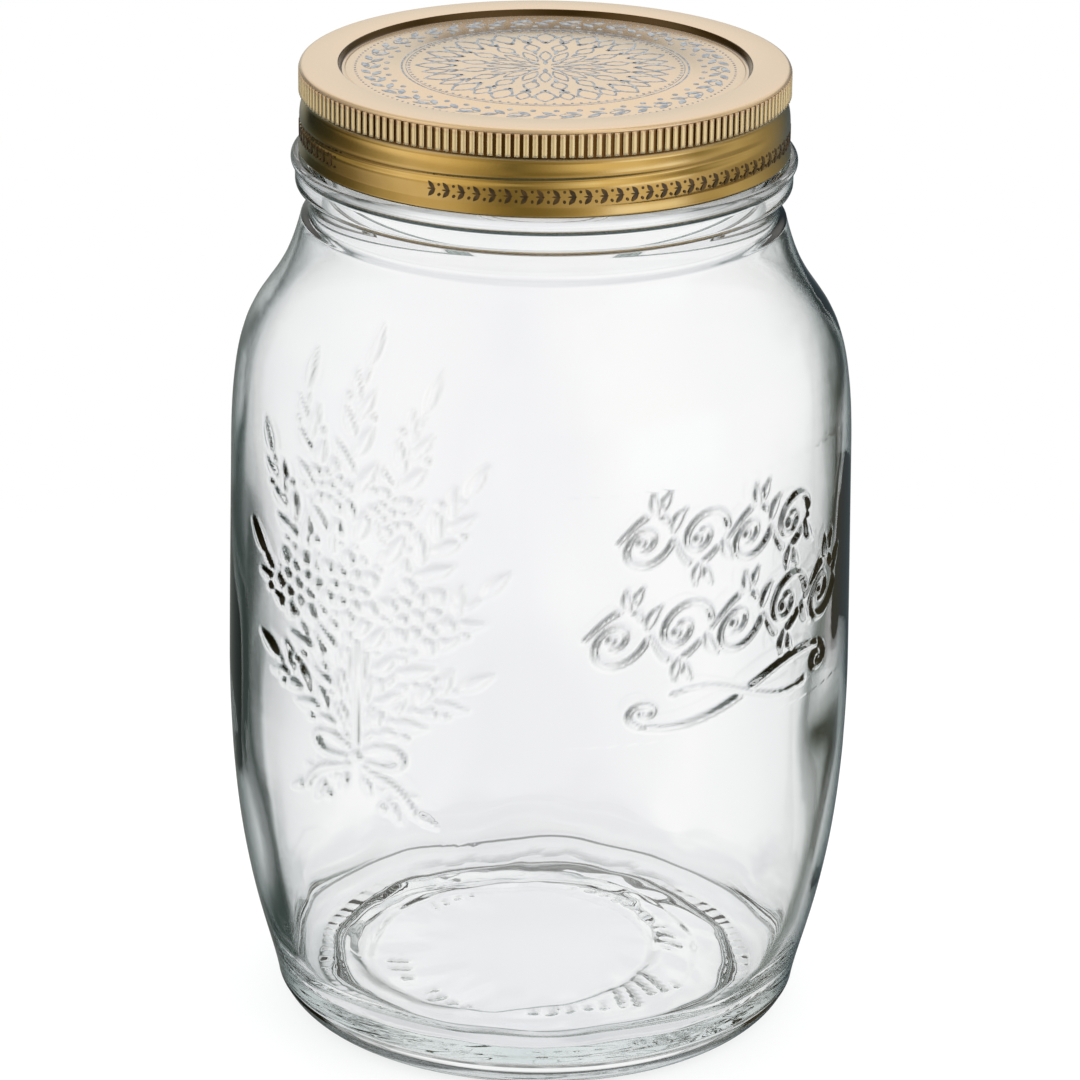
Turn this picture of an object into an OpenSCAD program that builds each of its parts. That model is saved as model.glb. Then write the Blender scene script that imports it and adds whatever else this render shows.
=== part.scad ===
// One-litre screw-top preserving jar: a pressed glass jar, a one-piece drawn
// metal cap, and the sealing ring flowed into the cap.
// Millimetres. The jar stands on z = 0 and its axis is the Z axis.

/* [Jar body] */
// Height of the closed jar, from the table to the flat of the cap
jar_h = 170; // [168:0.5:180]
// Radius of the jar where it is widest
belly_r = 54.25; // [53:0.25:57]
// Height of the widest place
belly_z = 62; // [56:1:68]
// Radius of the wall where the shoulder starts
shoulder_r = 53.45; // [52:0.05:53.9]
// Height of the start of the shoulder
shoulder_z = 104; // [98:0.5:108]
// How far the shoulder keeps its upright direction before it turns in
shoulder_bulge = 30; // [24:0.5:34]
// Glass thickness half way up
wall = 2.9; // [2.4:0.1:3.4]
// Glass thickness just above the heel, where the glass gathers
heel_wall = 4.4; // [3.6:0.1:5]

/* [Base] */
// Inner radius of the flat ring that the jar stands on
bearing_in = 37.6; // [36:0.2:38.4]
// Outer radius of that ring
bearing_out = 40.2; // [39.4:0.2:41]
// Radius of the rounded heel
heel_r = 6.3; // [5:0.1:8]
// Height of the middle of the pushed-up base
punt_h = 4.2; // [3:0.1:5.5]
// Radius of the step round the pushed-up middle
punt_r = 29; // [24:0.5:32]
// Glass thickness in the middle of the base
floor_t = 4.6; // [3.6:0.1:6]

/* [Neck and finish] */
// Radius of the neck between the shoulder and the rings
neck_r = 39.6; // [39:0.1:40.2]
// Height of the crease between the shoulder and the neck
crease_z = 144; // [143:0.1:145]
// Radius of the broad ring that the cap comes down to
collar_r = 42.8; // [42.2:0.1:43.4]
// Radius of the lower ring, below the notch
bead_r = 42.1; // [41.4:0.1:42.4]
// Radius of the finish at the root of its screw thread
finish_r = 38.7; // [38.2:0.1:38.9]
// Radius of the mouth
mouth_r = 35.6; // [35.5:0.1:35.8]
// Radius of the rounded edges of the lip
lip_round = 0.8; // [0.4:0.1:1]

/* [Cap] */
// Outer radius of the cap over its ribs
cap_r = 41.4; // [41.2:0.05:41.6]
// Height of the cap
cap_h = 14.8; // [14.4:0.1:15]
// Thickness of the sheet metal
sheet = 0.25; // [0.2:0.01:0.28]
// Number of grip ribs round the cap
rib_count = 176; // [120:4:200]
// How far the ribs stand out
rib_depth = 0.45; // [0.3:0.05:0.5]
// Height of the ribs
rib_h = 3.8; // [3.4:0.1:4]
// Radius of the top edge of the sunk panel
recess_r = 34.65; // [34.3:0.05:34.7]
// Depth of the sunk panel below the flat of the cap
recess_depth = 1; // [0.8:0.05:1.1]
// Radius of the low step pressed round the middle of the panel
step_r = 25; // [18:0.5:28]
// Radius of the rolled lower edge
curl_r = 0.55; // [0.5:0.05:0.6]

/* [Sealing ring] */
// Thickness of the sealing ring when the jar is closed
seal_t = 0.85; // [0.7:0.05:1]
// Inner radius of the sealing ring
seal_in = 35.3; // [35.25:0.05:35.5]
// Outer radius of the sealing ring
seal_out = 40.15; // [39:0.05:40.2]

/* [Hidden] */
$fn = 180;

// ---- Paths -------------------------------------------------------------

// The point at distance d from p, where a is the angle away from straight up
function toward(p, a, d) = p + d * [sin(a), cos(a)];

// Points on a circular arc about c, from angle a0 to angle a1
function arc(c, r, a0, a1, n = 6) =
    [for (i = [0:n]) let (a = a0 + (a1 - a0) * i / n) c + r * [cos(a), sin(a)]];

// Points on a cubic curve from a to d, which starts towards b and ends from c
function curve(a, b, c, d, n) =
    [for (i = [0:n]) let (t = i / n, s = 1 - t)
        s * s * s * a + 3 * s * s * t * b + 3 * s * t * t * c + t * t * t * d];

// A path without its first point, to join it to the path before
function rest_of(p) = [for (i = [1:len(p) - 1]) p[i]];

// The unit direction to the left of a path at its point i
function left_of(p, i) =
    let (d = p[min(i + 1, len(p) - 1)] - p[max(i - 1, 0)]) [-d[1], d[0]] / norm(d);

// The outline of a sheet of thickness t that lies to the right of a path
function sheet_outline(p, t) =
    concat(p, [for (i = [len(p) - 1:-1:0]) p[i] - t * left_of(p, i)]);

// ---- Heights that follow from the closed height ------------------------

land_under = jar_h - sheet;
lip_z = land_under - seal_t;
cap_z = jar_h - cap_h;

// ---- Glass jar ---------------------------------------------------------

// The two rings below the cap, with a notch between them
collar_high = cap_z - 0.35;
collar_low = collar_high - 1.9;
bead_high = collar_low - 0.25;
bead_low = bead_high - 3.8;
notch_r = bead_r - 0.5;

// The end of the shoulder, and its lean there
shoulder_end = [neck_r + 1.6, crease_z - 0.5];
shoulder_lean = 1.3;
shoulder_slope = 14;

// The end of the heel's arc, and the wall's lean there
heel_slope = 10.7;
heel_c = [bearing_out, heel_r];
heel_end = heel_c + heel_r * [cos(heel_slope), -sin(heel_slope)];

belly = [belly_r, belly_z];
shoulder = [shoulder_r, shoulder_z];

// The outside of the body, from the heel past the belly to the end of the shoulder
body_path = concat(
    curve(heel_end, toward(heel_end, heel_slope, 9.5), belly - [0, 35], belly, 14),
    rest_of(curve(belly, belly + [0, 5], toward(shoulder, -shoulder_lean, -5), shoulder, 4)),
    rest_of(curve(shoulder, toward(shoulder, -shoulder_lean, shoulder_bulge),
        toward(shoulder_end, -shoulder_slope, -20), shoulder_end, 18))
);

// Glass thickness at a height: thick above the heel, even from the belly up
gather_h = 36;
function wall_at(z) =
    let (t = min(max((z - heel_r) / gather_h, 0), 1))
        heel_wall + (wall - heel_wall) * t * (2 - t);

// The inside of the same wall, from the shoulder down to the heel
cavity_path = [for (i = [len(body_path) - 1:-1:3])
    body_path[i] + wall_at(body_path[i][1]) * left_of(body_path, i)];

// The underside: a pushed-up middle, a step, and a dish down to the bearing ring
under_path = concat(
    curve([0, punt_h], [punt_r * 0.5, punt_h], [punt_r * 0.8, punt_h - 0.4],
        [punt_r - 0.6, punt_h - 0.7], 6),
    curve([punt_r, punt_h - 1.1], [punt_r + 3, punt_h - 1.2],
        [bearing_in - 3.6, 1.9], [bearing_in - 1.4, 0.9], 6),
    arc([bearing_in, 1], 1, 225, 270, 3)
);

// A ring that stands out to radius r between two heights, with rounded edges
function ring_path(root, r, low, high, round_low, round_high) = concat(
    [[root, low]],
    arc([r - round_low, low + round_low], round_low, -90, 0),
    arc([r - round_high, high - round_high], round_high, 0, 90)
);

// The neck, the two rings and the finish, up over the lip
finish_path = concat(
    curve(shoulder_end, toward(shoulder_end, -shoulder_slope, 0.5),
        [neck_r + 0.1, crease_z + 0.1], [neck_r, crease_z + 1.2], 5),
    [[neck_r, bead_low - 0.5]],
    ring_path(neck_r + 0.5, bead_r, bead_low, bead_high, 1.3, 0.5),
    ring_path(notch_r, collar_r, collar_low, collar_high, 0.9, 0.9),
    [[finish_r + 0.4, collar_high], [finish_r, collar_high + 0.4]],
    arc([finish_r - lip_round, lip_z - lip_round], lip_round, 0, 90),
    arc([mouth_r + lip_round, lip_z - lip_round], lip_round, 90, 180)
);

// The bore of the mouth, then the inside of the neck, shoulder, wall and floor
bore_h = 16;
floor_z = punt_h + floor_t;
cavity_top = cavity_path[0];
cavity_foot = cavity_path[len(cavity_path) - 1];
floor_edge = [bearing_in - 5, floor_z - 1.4];
inside_path = concat(
    curve([mouth_r, lip_z - bore_h], [mouth_r, lip_z - bore_h - 5],
        toward(cavity_top, -shoulder_slope, 4), cavity_top, 8),
    rest_of(cavity_path),
    rest_of(curve(cavity_foot, toward(cavity_foot, heel_slope + 12, -6),
        floor_edge + [6, -0.2], floor_edge, 10)),
    rest_of(curve(floor_edge, floor_edge + [-6, 0.4], [punt_r * 0.5, floor_z],
        [0, floor_z], 6))
);

// Pressed soda-lime glass: body, base, neck and finish in one revolved piece
module glass_jar() {
    color([0.80, 0.88, 0.87, 0.45])
        rotate_extrude()
            polygon(concat(
                under_path,
                arc(heel_c, heel_r, -90, -heel_slope, 8),
                rest_of(body_path),
                rest_of(finish_path),
                inside_path
            ));
}

// ---- Screw cap ---------------------------------------------------------

panel_z = jar_h - recess_depth;
step_h = 0.15;
foot_r = recess_r - 1.35;
foot_groove = 0.1;
corner_r = 0.7;
rib_high = jar_h - corner_r - 0.1;
rib_low = rib_high - rib_h;
rib_root = cap_r - rib_depth;
groove_z = rib_low - 0.8;
groove_r = rib_root - 0.4;
skirt_r = cap_r - 0.05;
swell_z = groove_z - 4.7;
waist = [cap_r - 0.25, cap_z + 1.75];
curl_c = [cap_r + 0.15 - curl_r, cap_z + curl_r];

// The outside of the sheet, from the middle of the panel to the rolled lower edge
cap_path = concat(
    [[0, panel_z + step_h], [step_r - 0.4, panel_z + step_h], [step_r + 0.1, panel_z]],
    [[foot_r - 0.8, panel_z], [foot_r - 0.55, panel_z - foot_groove]],
    [[foot_r - 0.1, panel_z - foot_groove], [foot_r + 0.05, panel_z]],
    arc([recess_r + 0.3, jar_h - 0.3], 0.3, 160, 90, 4),
    arc([cap_r - 0.1 - corner_r, jar_h - corner_r], corner_r, 90, 0, 6),
    [[rib_root, rib_high - 0.1], [rib_root, rib_low]],
    curve([rib_root - 0.1, groove_z + 0.5], [groove_r, groove_z + 0.3],
        [groove_r, groove_z - 0.4], [groove_r + 0.1, groove_z - 0.6], 6),
    rest_of(curve([groove_r + 0.1, groove_z - 0.6], [skirt_r - 0.1, groove_z - 1.8],
        [skirt_r, swell_z + 1.5], [skirt_r, swell_z], 8)),
    rest_of(curve([skirt_r, swell_z], [skirt_r, swell_z - 1.5], waist + [0, 0.6], waist, 5)),
    arc(curl_c, curl_r, 10, -235, 14)
);

// One rib's outline: fractions of the pitch at which its flat-topped crest stands up
rib_step = 360 / rib_count;
rib_foot = rib_root - sheet / 4;
rib_shape = [[0.08, rib_foot], [0.25, cap_r], [0.58, cap_r], [0.75, rib_foot]];
rib_outline = [for (i = [0:rib_count - 1]) for (s = rib_shape)
    let (a = (i + s[0]) * rib_step) s[1] * [cos(a), sin(a)]];

// The crown of ribs that gives the fingers their grip
module grip_ribs() {
    translate([0, 0, rib_low])
        linear_extrude(rib_high - rib_low)
            difference() {
                polygon(rib_outline);
                circle(r = rib_root - sheet / 2);
            }
}

// Drawn tinplate: flat land, sunk panel, ribbed and rolled skirt in one sheet
module screw_cap() {
    color([0.80, 0.66, 0.38]) {
        rotate_extrude()
            polygon(sheet_outline(cap_path, sheet));
        grip_ribs();
    }
}

// ---- Sealing ring ------------------------------------------------------

// Flowed-in sealing compound: lies in the channel of the cap, on the lip of the jar
seal_round = 0.2;
module sealing_ring() {
    color([0.86, 0.82, 0.74])
        rotate_extrude()
            polygon(concat(
                [[seal_in, land_under], [seal_in, lip_z + seal_round]],
                arc([seal_in + seal_round, lip_z + seal_round], seal_round, 180, 270, 3),
                arc([seal_out - seal_round, lip_z + seal_round], seal_round, 270, 360, 3),
                [[seal_out, land_under]]
            ));
}

glass_jar();
screw_cap();
sealing_ring();
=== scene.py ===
"""The look of a one-litre preserving jar: embossed glass, lacquered cap and sealing ring.

Sizes in the classes are millimetres, as on a maker's drawing. Meshes are in metres. An angle
round the jar is 0 at the front, on -Y, and grows towards +X.
"""

import logging
import math
from dataclasses import dataclass, field
from enum import Enum
from typing import Iterable

import bpy
import numpy as np
from mathutils import Matrix, Vector


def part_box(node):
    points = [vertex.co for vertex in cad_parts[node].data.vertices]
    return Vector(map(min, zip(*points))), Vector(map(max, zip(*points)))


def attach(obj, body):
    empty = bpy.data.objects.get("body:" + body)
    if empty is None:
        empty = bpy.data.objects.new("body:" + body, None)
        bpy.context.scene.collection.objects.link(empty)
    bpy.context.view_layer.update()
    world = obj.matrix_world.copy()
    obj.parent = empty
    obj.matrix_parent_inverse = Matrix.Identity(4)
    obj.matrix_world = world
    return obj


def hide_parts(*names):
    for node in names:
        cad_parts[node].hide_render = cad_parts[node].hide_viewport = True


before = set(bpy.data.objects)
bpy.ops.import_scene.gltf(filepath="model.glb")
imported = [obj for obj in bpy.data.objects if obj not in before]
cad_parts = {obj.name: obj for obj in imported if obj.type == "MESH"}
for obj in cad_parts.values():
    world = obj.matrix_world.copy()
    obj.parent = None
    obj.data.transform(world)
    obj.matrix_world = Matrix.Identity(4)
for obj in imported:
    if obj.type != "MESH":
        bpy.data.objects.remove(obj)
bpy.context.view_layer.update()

MM = 0.001
TAU = math.tau
# Depth of a rolling line or a pore, which only a bump draws.
FINE = 0.05 * MM
LOG = logging.getLogger("preserving_jar")

Array = np.ndarray
Path = list[tuple[float, float]]
Stops = tuple[tuple[float, str], ...]


# ---- Outlines in the plane of radius and height --------------------------


def toward(start: tuple[float, float], lean: float, distance: float) -> tuple[float, float]:
    """Step a distance from a point, at a lean in degrees from straight up, outwards positive."""
    angle = math.radians(lean)
    return (start[0] + distance * math.sin(angle), start[1] + distance * math.cos(angle))


def arc(centre: tuple[float, float], radius: float, first: float, last: float, steps: int = 8) -> Path:
    """Lay points along an arc, from a first to a last angle in degrees, 0 pointing outwards."""
    angles = np.radians(np.linspace(first, last, steps + 1))
    return [(centre[0] + radius * math.cos(a), centre[1] + radius * math.sin(a)) for a in angles]


def curve(start: tuple, leaving: tuple, arriving: tuple, end: tuple, steps: int) -> Path:
    """Lay points along a cubic curve.

    Args:
        start: First point.
        leaving: Handle that the curve starts towards.
        arriving: Handle that the curve ends from.
        end: Last point.
        steps: Number of steps.

    Returns:
        The points, both ends included.
    """
    t = np.linspace(0.0, 1.0, steps + 1)[:, None]
    s = 1.0 - t
    handles = [np.asarray(p, float) for p in (start, leaving, arriving, end)]
    weights = (s**3, 3 * s * s * t, 3 * s * t * t, t**3)
    points = sum(weight * handle for weight, handle in zip(weights, handles))
    return [tuple(point) for point in points]


def chain(*paths: Path) -> Path:
    """Join paths end to end, and drop a point that repeats the one before it.

    Args:
        paths: The paths, in order.

    Returns:
        The joined path.
    """
    joined: Path = []
    for point in (p for path in paths for p in path):
        if not joined or math.dist(point, joined[-1]) > 1e-6:
            joined.append(point)
    return joined


def crisp(path: Path, hold: float = 0.1, turn: float = 18.0) -> Path:
    """Add a point close to each side of a corner, so that smooth shading keeps the corner tight.

    Args:
        path: The outline.
        hold: Distance of the added points from the corner.
        turn: Least angle, in degrees, that counts as a corner.

    Returns:
        The outline with the added points.
    """
    kept: Path = [path[0]]
    for before, here, after in zip(path, path[1:], path[2:]):
        back = np.subtract(before, here)
        ahead = np.subtract(after, here)
        lengths = np.linalg.norm(back), np.linalg.norm(ahead)
        bend = 180.0 - math.degrees(math.acos(np.clip(back @ ahead / (lengths[0] * lengths[1]), -1, 1)))
        if bend > turn and lengths[0] > 2.5 * hold:
            kept.append(tuple(np.asarray(here) + back / lengths[0] * hold))
        kept.append(here)
        if bend > turn and lengths[1] > 2.5 * hold:
            kept.append(tuple(np.asarray(here) + ahead / lengths[1] * hold))
    kept.append(path[-1])
    return kept


def left_normals(path: Path) -> Array:
    """Find the direction to the left of a path at each of its points.

    Args:
        path: The path.

    Returns:
        Unit directions, one row for each point.
    """
    points = np.asarray(path)
    along = np.gradient(points, axis=0)
    across = np.stack([-along[:, 1], along[:, 0]], axis=1)
    return across / np.linalg.norm(across, axis=1, keepdims=True)


def at_height(path: Path, heights: Iterable[float]) -> Path:
    """Pick points off a rising path by their height.

    Args:
        path: The path.
        heights: Heights of the points.

    Returns:
        The points.
    """
    points = np.asarray(path)
    stations = np.asarray(list(heights))
    return list(zip(np.interp(stations, points[:, 1], points[:, 0]), stations))


def along_length(path: Path, spacing: float) -> Path:
    """Lay points along a path at an even spacing.

    Args:
        path: The path.
        spacing: About how far apart the points are.

    Returns:
        The points, both ends included.
    """
    points = np.asarray(path)
    run = np.concatenate([[0.0], np.cumsum(np.linalg.norm(np.diff(points, axis=0), axis=1))])
    stations = np.linspace(0.0, run[-1], max(2, round(run[-1] / spacing) + 1))
    return list(zip(*(np.interp(stations, run, points[:, axis]) for axis in (0, 1))))


def smooth(value: Array, low: float, high: float) -> Array:
    """Rise smoothly from 0 at low to 1 at high."""
    t = np.clip((value - low) / (high - low), 0.0, 1.0)
    return t * t * (3 - 2 * t)


def ripple(turn: Array, height: float, waves: Iterable[tuple[float, int, float, float]]) -> Array:
    """Add up waves, each with its depth, number round the jar, radians per mm of height and phase."""
    return sum(depth * np.sin(count * turn + rise * height + phase) for depth, count, rise, phase in waves)


@dataclass(frozen=True)
class Helix:
    """The run of a screw thread: heights in mm, and angles in degrees from the front."""

    z: float
    first: float
    last: float
    fades: tuple[float, float]
    lead: float = 5.08

    def windings(self, turns: Array, height: float) -> Iterable[tuple[Array, Array]]:
        """Follow the thread past some angles at one height.

        Args:
            turns: The angles, in radians.
            height: The height.

        Returns:
            For each winding, how far the height is above its middle, and how full it is there.
        """
        for winding in (-2, -1, 0, 1):
            along = np.degrees(turns) + 360 * winding
            start = smooth(along, self.first, self.first + self.fades[0])
            end = smooth(along, self.last - self.fades[1], self.last)
            yield height - self.z - self.lead * along / 360, start * (1 - end)


# ---- Skins made of rings ---------------------------------------------------


def round_turns(count: int) -> Array:
    """Return evenly spaced angles round the jar, the first at the back."""
    return -math.pi + TAU * np.arange(count) / count


def zoned_turns(count: int, *zones: tuple[float, float, float]) -> Array:
    """Return even angles round the jar that are closer together in some zones.

    Args:
        count: Number of angles outside the zones, for the whole round.
        zones: First angle, last angle and spacing of each zone, in degrees.

    Returns:
        The angles in radians, in rising order.
    """
    turns = round_turns(count)
    for first, last, spacing in zones:
        low, high = math.radians(first), math.radians(last)
        steps = math.ceil((last - first) / spacing)
        turns = turns[(turns < low) | (turns > high)]
        turns = np.concatenate([turns, np.linspace(low, high, steps + 1)])
    return np.sort(turns)


@dataclass
class Skin:
    """A closed skin of rings round the Z axis, laid one after another, faces outwards.

    The rings run up the outside and down the inside. Neighbouring rings may have different
    numbers of points.
    """

    points: list[Array] = field(default_factory=list)
    shades: list[Array] = field(default_factory=list)
    faces: list[tuple[int, ...]] = field(default_factory=list)
    rings: list[tuple[Array, Array]] = field(default_factory=list)
    size: int = 0

    def ring(self, turns: Array, radius: Array | float, height: Array | float,
             shade: Array | float = 0.0) -> None:
        """Lay the next ring and join it to the last.

        Args:
            turns: Angles of its points, in radians.
            radius: Radius in mm, one number or one for each point.
            height: Height in mm, likewise.
            shade: How much painted shade the glass gets at each point, from 0 to 1.
        """
        radii = np.broadcast_to(radius, turns.shape)
        heights = np.broadcast_to(height, turns.shape)
        self.points.append(np.stack([radii * np.sin(turns), -radii * np.cos(turns), heights], axis=1))
        self.shades.append(np.broadcast_to(shade, turns.shape))
        self.rings.append((turns, np.arange(self.size, self.size + len(turns))))
        self.size += len(turns)
        if len(self.rings) > 1:
            self._bridge(self.rings[-2], self.rings[-1])

    def pole(self, height: float) -> None:
        """Lay a single point on the axis."""
        self.ring(np.array([-math.pi]), 0.0, height)

    def close(self) -> None:
        """Join the last ring to the first."""
        self._bridge(self.rings[-1], self.rings[0])

    def _bridge(self, lower: tuple[Array, Array], upper: tuple[Array, Array]) -> None:
        """Fill the band between two rings.

        Args:
            lower: Angles and point numbers of the ring that was laid first.
            upper: Angles and point numbers of the other ring.
        """
        (low_turns, low), (high_turns, high) = lower, upper
        n, m = len(low), len(high)
        if n == 1:
            self.faces += [(low[0], high[(j + 1) % m], high[j]) for j in range(m)]
        elif m == 1:
            self.faces += [(low[i], low[(i + 1) % n], high[0]) for i in range(n)]
        elif n == m and np.allclose(low_turns, high_turns):
            self.faces += list(zip(low, np.roll(low, -1), np.roll(high, -1), high))
        else:
            low_next = np.append(low_turns[1:], low_turns[0] + TAU)
            high_next = np.append(high_turns[1:], high_turns[0] + TAU)
            i = j = 0
            while i < n or j < m:
                if j >= m or (i < n and low_next[i] <= high_next[j]):
                    self.faces.append((low[i], low[(i + 1) % n], high[j % m]))
                    i += 1
                else:
                    self.faces.append((low[i % n], high[(j + 1) % m], high[j]))
                    j += 1

    def piece(self, name: str, material: bpy.types.Material) -> bpy.types.Object:
        """Turn the skin into an object at the origin.

        Args:
            name: Name of the object.
            material: Its finish.

        Returns:
            The object, linked to the scene.
        """
        mesh = bpy.data.meshes.new(name)
        faces = [tuple(int(corner) for corner in face) for face in self.faces]
        mesh.from_pydata(np.concatenate(self.points) * MM, [], faces)
        # The painted shade is kept in the steep attribute, which darkens the glass colour.
        steep = mesh.attributes.new("steep", "FLOAT", "POINT")
        steep.data.foreach_set("value", np.concatenate(self.shades).astype(np.float32))
        mesh.shade_smooth()
        return link_piece(name, mesh, material)


def link_piece(name: str, mesh: bpy.types.Mesh, material: bpy.types.Material) -> bpy.types.Object:
    """Give a mesh its finish and put it in the scene as an object at the origin.

    Args:
        name: Name of the object.
        mesh: Its mesh, in metres and in place.
        material: Its finish.

    Returns:
        The object.
    """
    mesh.materials.clear()
    mesh.materials.append(material)
    piece = bpy.data.objects.new(name, mesh)
    bpy.context.scene.collection.objects.link(piece)
    return piece


# ---- Node trees --------------------------------------------------------------


def linear(colour: str) -> tuple[float, float, float, float]:
    """Turn an sRGB hex colour, such as "#C8A24B", into linear red, green, blue and alpha."""
    parts = [int(colour[i:i + 2], 16) / 255 for i in (1, 3, 5)]
    return tuple(p / 12.92 if p <= 0.04045 else ((p + 0.055) / 1.055) ** 2.4 for p in parts) + (1.0,)


def add_node(tree: bpy.types.NodeTree, kind: str, inputs: dict | None = None,
             stops: Stops | None = None, **settings: object) -> bpy.types.Node:
    """Add one node to a tree.

    Args:
        tree: The tree that gets the node.
        kind: The node's type name.
        inputs: What its inputs get, by name or number: an output socket, a node whose first
            output is meant, a hex colour or a plain value.
        stops: Place and colour of each stop, for a colour ramp.
        settings: Settings of the node itself.

    Returns:
        The node.
    """
    node = tree.nodes.new(kind)
    for name, value in settings.items():
        setattr(node, name, value)
    for name, value in (inputs or {}).items():
        if isinstance(value, bpy.types.Node):
            value = value.outputs[0]
        if isinstance(value, bpy.types.NodeSocket):
            tree.links.new(value, node.inputs[name])
        else:
            node.inputs[name].default_value = linear(value) if isinstance(value, str) else value
    if stops:
        scale = node.color_ramp.elements
        while len(scale) < len(stops):
            scale.new(1.0)
        for element, (place, colour) in zip(scale, stops):
            element.position = place
            element.color = linear(colour)
    return node


def new_material(name: str) -> tuple[bpy.types.Material, bpy.types.NodeTree]:
    """Start a node material.

    Args:
        name: Its name.

    Returns:
        The material and its empty tree.
    """
    material = bpy.data.materials.new(name)
    material.use_nodes = True
    material.node_tree.nodes.clear()
    return material, material.node_tree


# ---- Finishes ----------------------------------------------------------------


@dataclass(frozen=True)
class PressedGlass:
    """Pressed soda-lime glass, fire-polished: clear, with a cool green-grey where it is deep."""

    # Painted shade: the glass colour darkens towards its edges, by how far the surface turns from the view.
    edge: Stops = (
        (0.0, "#FFFFFF"), (0.68, "#FCFDFD"), (0.74, "#CDD3D2"), (0.79, "#939C9B"), (0.86, "#4F5957"),
        (1.0, "#161C1A"),
    )
    painted_shade_tint: str = "#1E2826"
    depth_tint: str = "#D2DFDD"
    depth: float = 8.0
    painted_heel_light: float = 0.2
    heel_front: tuple[float, float] = (26.0, 38.0)
    heel_low: tuple[float, float] = (12.0, 8.0)
    shadow: str = "#EEF3F2"

    def material(self) -> bpy.types.Material:
        """Build the material: clear glass with painted shade at its edges and on its steep places, with
        absorption in its depth.

        Returns:
            The material.
        """
        material, tree = new_material("pressed_soda_lime_glass")
        # Painted shade at the edges, by how far the surface turns from the view.
        facing = add_node(tree, "ShaderNodeLayerWeight", {"Blend": 0.5}).outputs["Facing"]
        # Painted light: the front of the heel gathers light from the bright table, so its painted dark edges
        # are lifted there.
        place = add_node(tree, "ShaderNodeTexCoord").outputs["Object"]
        axes = add_node(tree, "ShaderNodeSeparateXYZ", {0: place}).outputs
        (back, front), (high, low) = self.heel_front, self.heel_low
        share = add_node(tree, "ShaderNodeMapRange", {
            0: axes["Y"], 1: -back * MM, 2: -front * MM, 4: self.painted_heel_light}).outputs[0]
        lit = add_node(tree, "ShaderNodeMapRange", {0: axes["Z"], 1: high * MM, 2: low * MM, 4: share})
        dim = add_node(tree, "ShaderNodeMath", {0: facing, 1: lit}, operation="SUBTRACT")
        edge = add_node(tree, "ShaderNodeValToRGB", {0: dim}, self.edge)
        # Painted shade: the steep attribute darkens the glass colour on the relief's slopes, folds, seams and
        # base marks.
        steep = add_node(tree, "ShaderNodeAttribute", attribute_name="steep").outputs["Fac"]
        tint = add_node(tree, "ShaderNodeMix", {0: steep, 6: edge, 7: self.painted_shade_tint},
                        data_type="RGBA", blend_type="MULTIPLY").outputs[2]
        glass = add_node(tree, "ShaderNodeBsdfPrincipled", {
            "Base Color": tint, "Roughness": 0.0, "IOR": 1.5, "Transmission Weight": 1.0})
        # A shadow passes through clear glass, so the jar does not black out its own table.
        clear = add_node(tree, "ShaderNodeBsdfTransparent", {"Color": self.shadow})
        shadow = add_node(tree, "ShaderNodeLightPath").outputs["Is Shadow Ray"]
        surface = add_node(tree, "ShaderNodeMixShader", {0: shadow, 1: glass, 2: clear})
        volume = add_node(tree, "ShaderNodeVolumeAbsorption",
                          {"Color": self.depth_tint, "Density": self.depth})
        add_node(tree, "ShaderNodeOutputMaterial", {"Surface": surface, "Volume": volume})
        return material


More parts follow.
